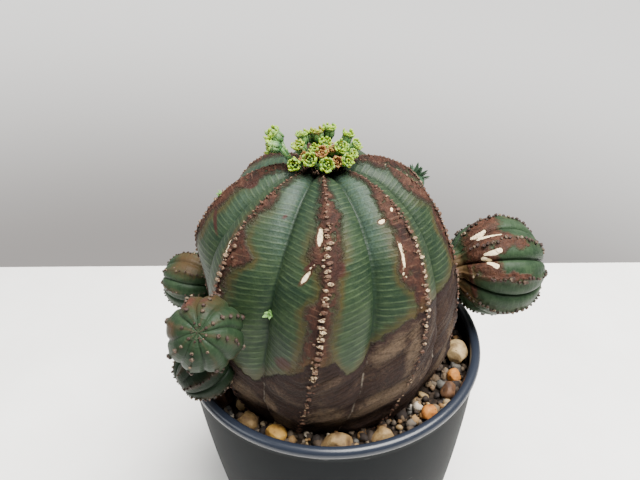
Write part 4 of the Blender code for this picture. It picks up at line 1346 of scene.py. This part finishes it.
def make_leaves(name, centre, direction, radius, count, length, width, finish, stands_for=(), body=None):
    """A tuft of leaves, each turned 2.4 radians on from the last and leaning further out."""
    random = np.random.default_rng(count)
    axes = axes_along(direction, LEAF_SIDE)
    nets, marks = [], []
    for k in range(count):
        turn = 2.4 * k
        out = axes[0] * cos(turn) + axes[1] * sin(turn)
        aim = unit(axes[2] + (0.25 + 0.85 * (k + 0.5) / count) * out)
        base = np.array(centre) + aim * radius
        nets.append(leaf_net(base, aim, np.cross(aim, out) + 0.01, length * random.uniform(0.8, 1.1), width))
        marks.append({"tip": np.linspace(0, 1, LEAF_ROWS)[:, None]})
    if body is not None:
        nets.append(body)
        marks.append({"tip": 0.0})
    closed_nets(name, nets, marks, finish, stands_for)


def leaf_finish(name, dark, pale):
    f = Finish(name, Specular_IOR_Level=0.5)
    soft = f.noise(1.2, 3.0)
    colour = f.blend(f.mark("tip") * 0.6 + soft * 0.5, dark, pale)
    return f.finish(colour, 0.45, soft, 0.15, 0.6)


def make_sprouts():
    """The sprout's ball has five soft ribs and is drawn out towards the stem. The leaves follow."""
    centre, direction, radius = SPROUT
    inward = towards_stem(centre)
    ball = stone_net(20, 30)
    ball = ball * (1 - 0.07 * np.cos(5 * np.arctan2(ball[..., 1], ball[..., 0])))[..., None] * radius
    ball = ball @ axes_along(direction, LEAF_SIDE) + np.array(centre)
    depth = np.clip((ball - np.array(centre)) @ inward / radius, 0, 1)
    ball = ball + depth[..., None] ** 2 * inward * 3.6
    dusky = leaf_finish("sprout_leaf", SPROUT_GREEN, SPROUT_PALE)
    fresh = leaf_finish("bud_leaf", LEAF_GREEN, LEAF_PALE)
    make_leaves(
        "back_sprout_leaves", centre, direction, radius * 0.6, SPROUT_LEAVES, 5.2, 0.80, dusky,
        ["offset_back_sprout"], ball,
    )
    for index, (rib, down, aim, count, length) in enumerate(BUDS):
        place = stem_point(np.array(rib), np.array(down), 0.1)[0]
        make_leaves(f"groove_bud_{index}", place, aim, 0.1, count, length, 0.55, fresh)


make_sprouts()


# Table, room, light and camera
# The pot stands on a white painted table whose back edge shows behind it, in a pale room. Soft daylight
# falls from above the camera, a little from the right, and the camera looks down at the crown.

TABLE_BACK = 171.0
TABLE_FRONT = -900.0
TABLE_HALF_WIDTH = 900.0
TABLE_THICK = 22.0
TABLE_SKEW = 0.034
TABLE_WHITE = (0.95, 0.94, 0.91)
TABLE_GREY = (0.72, 0.70, 0.66)
ROOM_PALE = (1.62, 1.59, 1.54)
ROOM_SHADE = (0.50, 0.47, 0.45)
WALL_GLOW = (0.80, 0.79, 0.77)
AIR_GLOW = (0.160, 0.164, 0.170)
CAMERA_PLACE = (0.0, -144.94, 218.60)
CAMERA_YAW, CAMERA_PITCH, CAMERA_ROLL = -0.02182, 0.55699, -0.03916
CAMERA_SENSOR = 36.0
CAMERA_LENS = CAMERA_SENSOR * 520 / 640


def make_table():
    """A slab whose back edge runs slightly askew, as its far corners are moved in proportion to x."""
    f = Finish("white_table", Specular_IOR_Level=0.3)
    colour = f.blend(f.noise(60.0, 4.0).step(0.3, 0.7) * 0.25, TABLE_WHITE, TABLE_GREY)
    xs, ys, zs = (-TABLE_HALF_WIDTH, TABLE_HALF_WIDTH), (TABLE_FRONT, TABLE_BACK), (-TABLE_THICK, -0.02)
    corners = [(x, y - TABLE_SKEW * x * (y > 0), z) for z in zs for y in ys for x in xs]
    faces = [(0, 2, 3, 1), (4, 5, 7, 6), (0, 1, 5, 4), (2, 6, 7, 3), (0, 4, 6, 2), (1, 3, 7, 5)]
    mesh = mesh_from("table", corners, faces)
    mesh.materials.append(f.finish(colour, 0.55))
    add_object("table", mesh)


class Room(Finish):
    """The world's nodes, added by the same methods as a material's."""

    def __init__(self, name):
        world = bpy.data.worlds.new(name)
        world.use_nodes = True
        self.tree = world.node_tree
        self.shader = self.tree.nodes["Background"]
        bpy.context.scene.world = world


def make_room():
    """The room glows from behind the pot. Seen directly, it is pale and darkens towards the floor."""
    f = Room("pale_room")
    way = f.node("ShaderNodeTexCoord")
    across, behind, upward = (f.node("ShaderNodeSeparateXYZ", None, {0: way}, out=axis) for axis in range(3))
    seen = f.blend((upward + across * 0.15).step(-0.55, -0.12), ROOM_SHADE, ROOM_PALE)
    glow = f.blend(behind.step(-0.1, 0.3), AIR_GLOW, WALL_GLOW)
    f.feed(f.shader.inputs["Color"], f.blend(f.node("ShaderNodeLightPath"), glow, seen))


def make_light(name, place, aim, size, energy, colour):
    """A square lamp at a place, turned so that it faces the aim."""
    lamp = bpy.data.lights.new(name, "AREA")
    lamp.size, lamp.energy, lamp.color = size, energy, colour
    turn = np.eye(4)
    turn[:3, :3], turn[:3, 3] = axes_along(np.array(place) - np.array(aim), (0.9, 0.1, 0.2)).T, place
    add_object(name, lamp).matrix_world = Matrix(turn.tolist())


def make_camera():
    """The camera's axes: a level right-hand way and an upward way, both rolled about the line of sight."""
    level = np.array([cos(CAMERA_YAW), -sin(CAMERA_YAW), 0.0])
    ahead = np.array([sin(CAMERA_YAW), cos(CAMERA_YAW), 0.0])
    forward = ahead * cos(CAMERA_PITCH) - [0, 0, sin(CAMERA_PITCH)]
    upward = np.cross(level, forward)
    right = cos(CAMERA_ROLL) * level + sin(CAMERA_ROLL) * upward
    above = -sin(CAMERA_ROLL) * level + cos(CAMERA_ROLL) * upward
    turn = np.eye(4)
    turn[:3] = np.stack([right, above, -forward, np.array(CAMERA_PLACE) * MM], -1)
    camera = bpy.data.cameras.new("camera")
    camera.lens, camera.sensor_width, camera.clip_start = CAMERA_LENS, CAMERA_SENSOR, 0.01
    made = add_object("camera", camera)
    made.matrix_world = Matrix(turn.tolist())
    bpy.context.scene.camera = made


make_table()
make_light("window", (0.30, -0.10, 1.05), (0.0, 0.03, 0.1), 0.7, 52.0, (1.0, 0.985, 0.96))
make_light("left_side", (-0.7, -0.25, 0.75), (0.0, 0.0, 0.1), 0.5, 4.0, (0.97, 0.99, 1.0))
make_room()
make_camera()
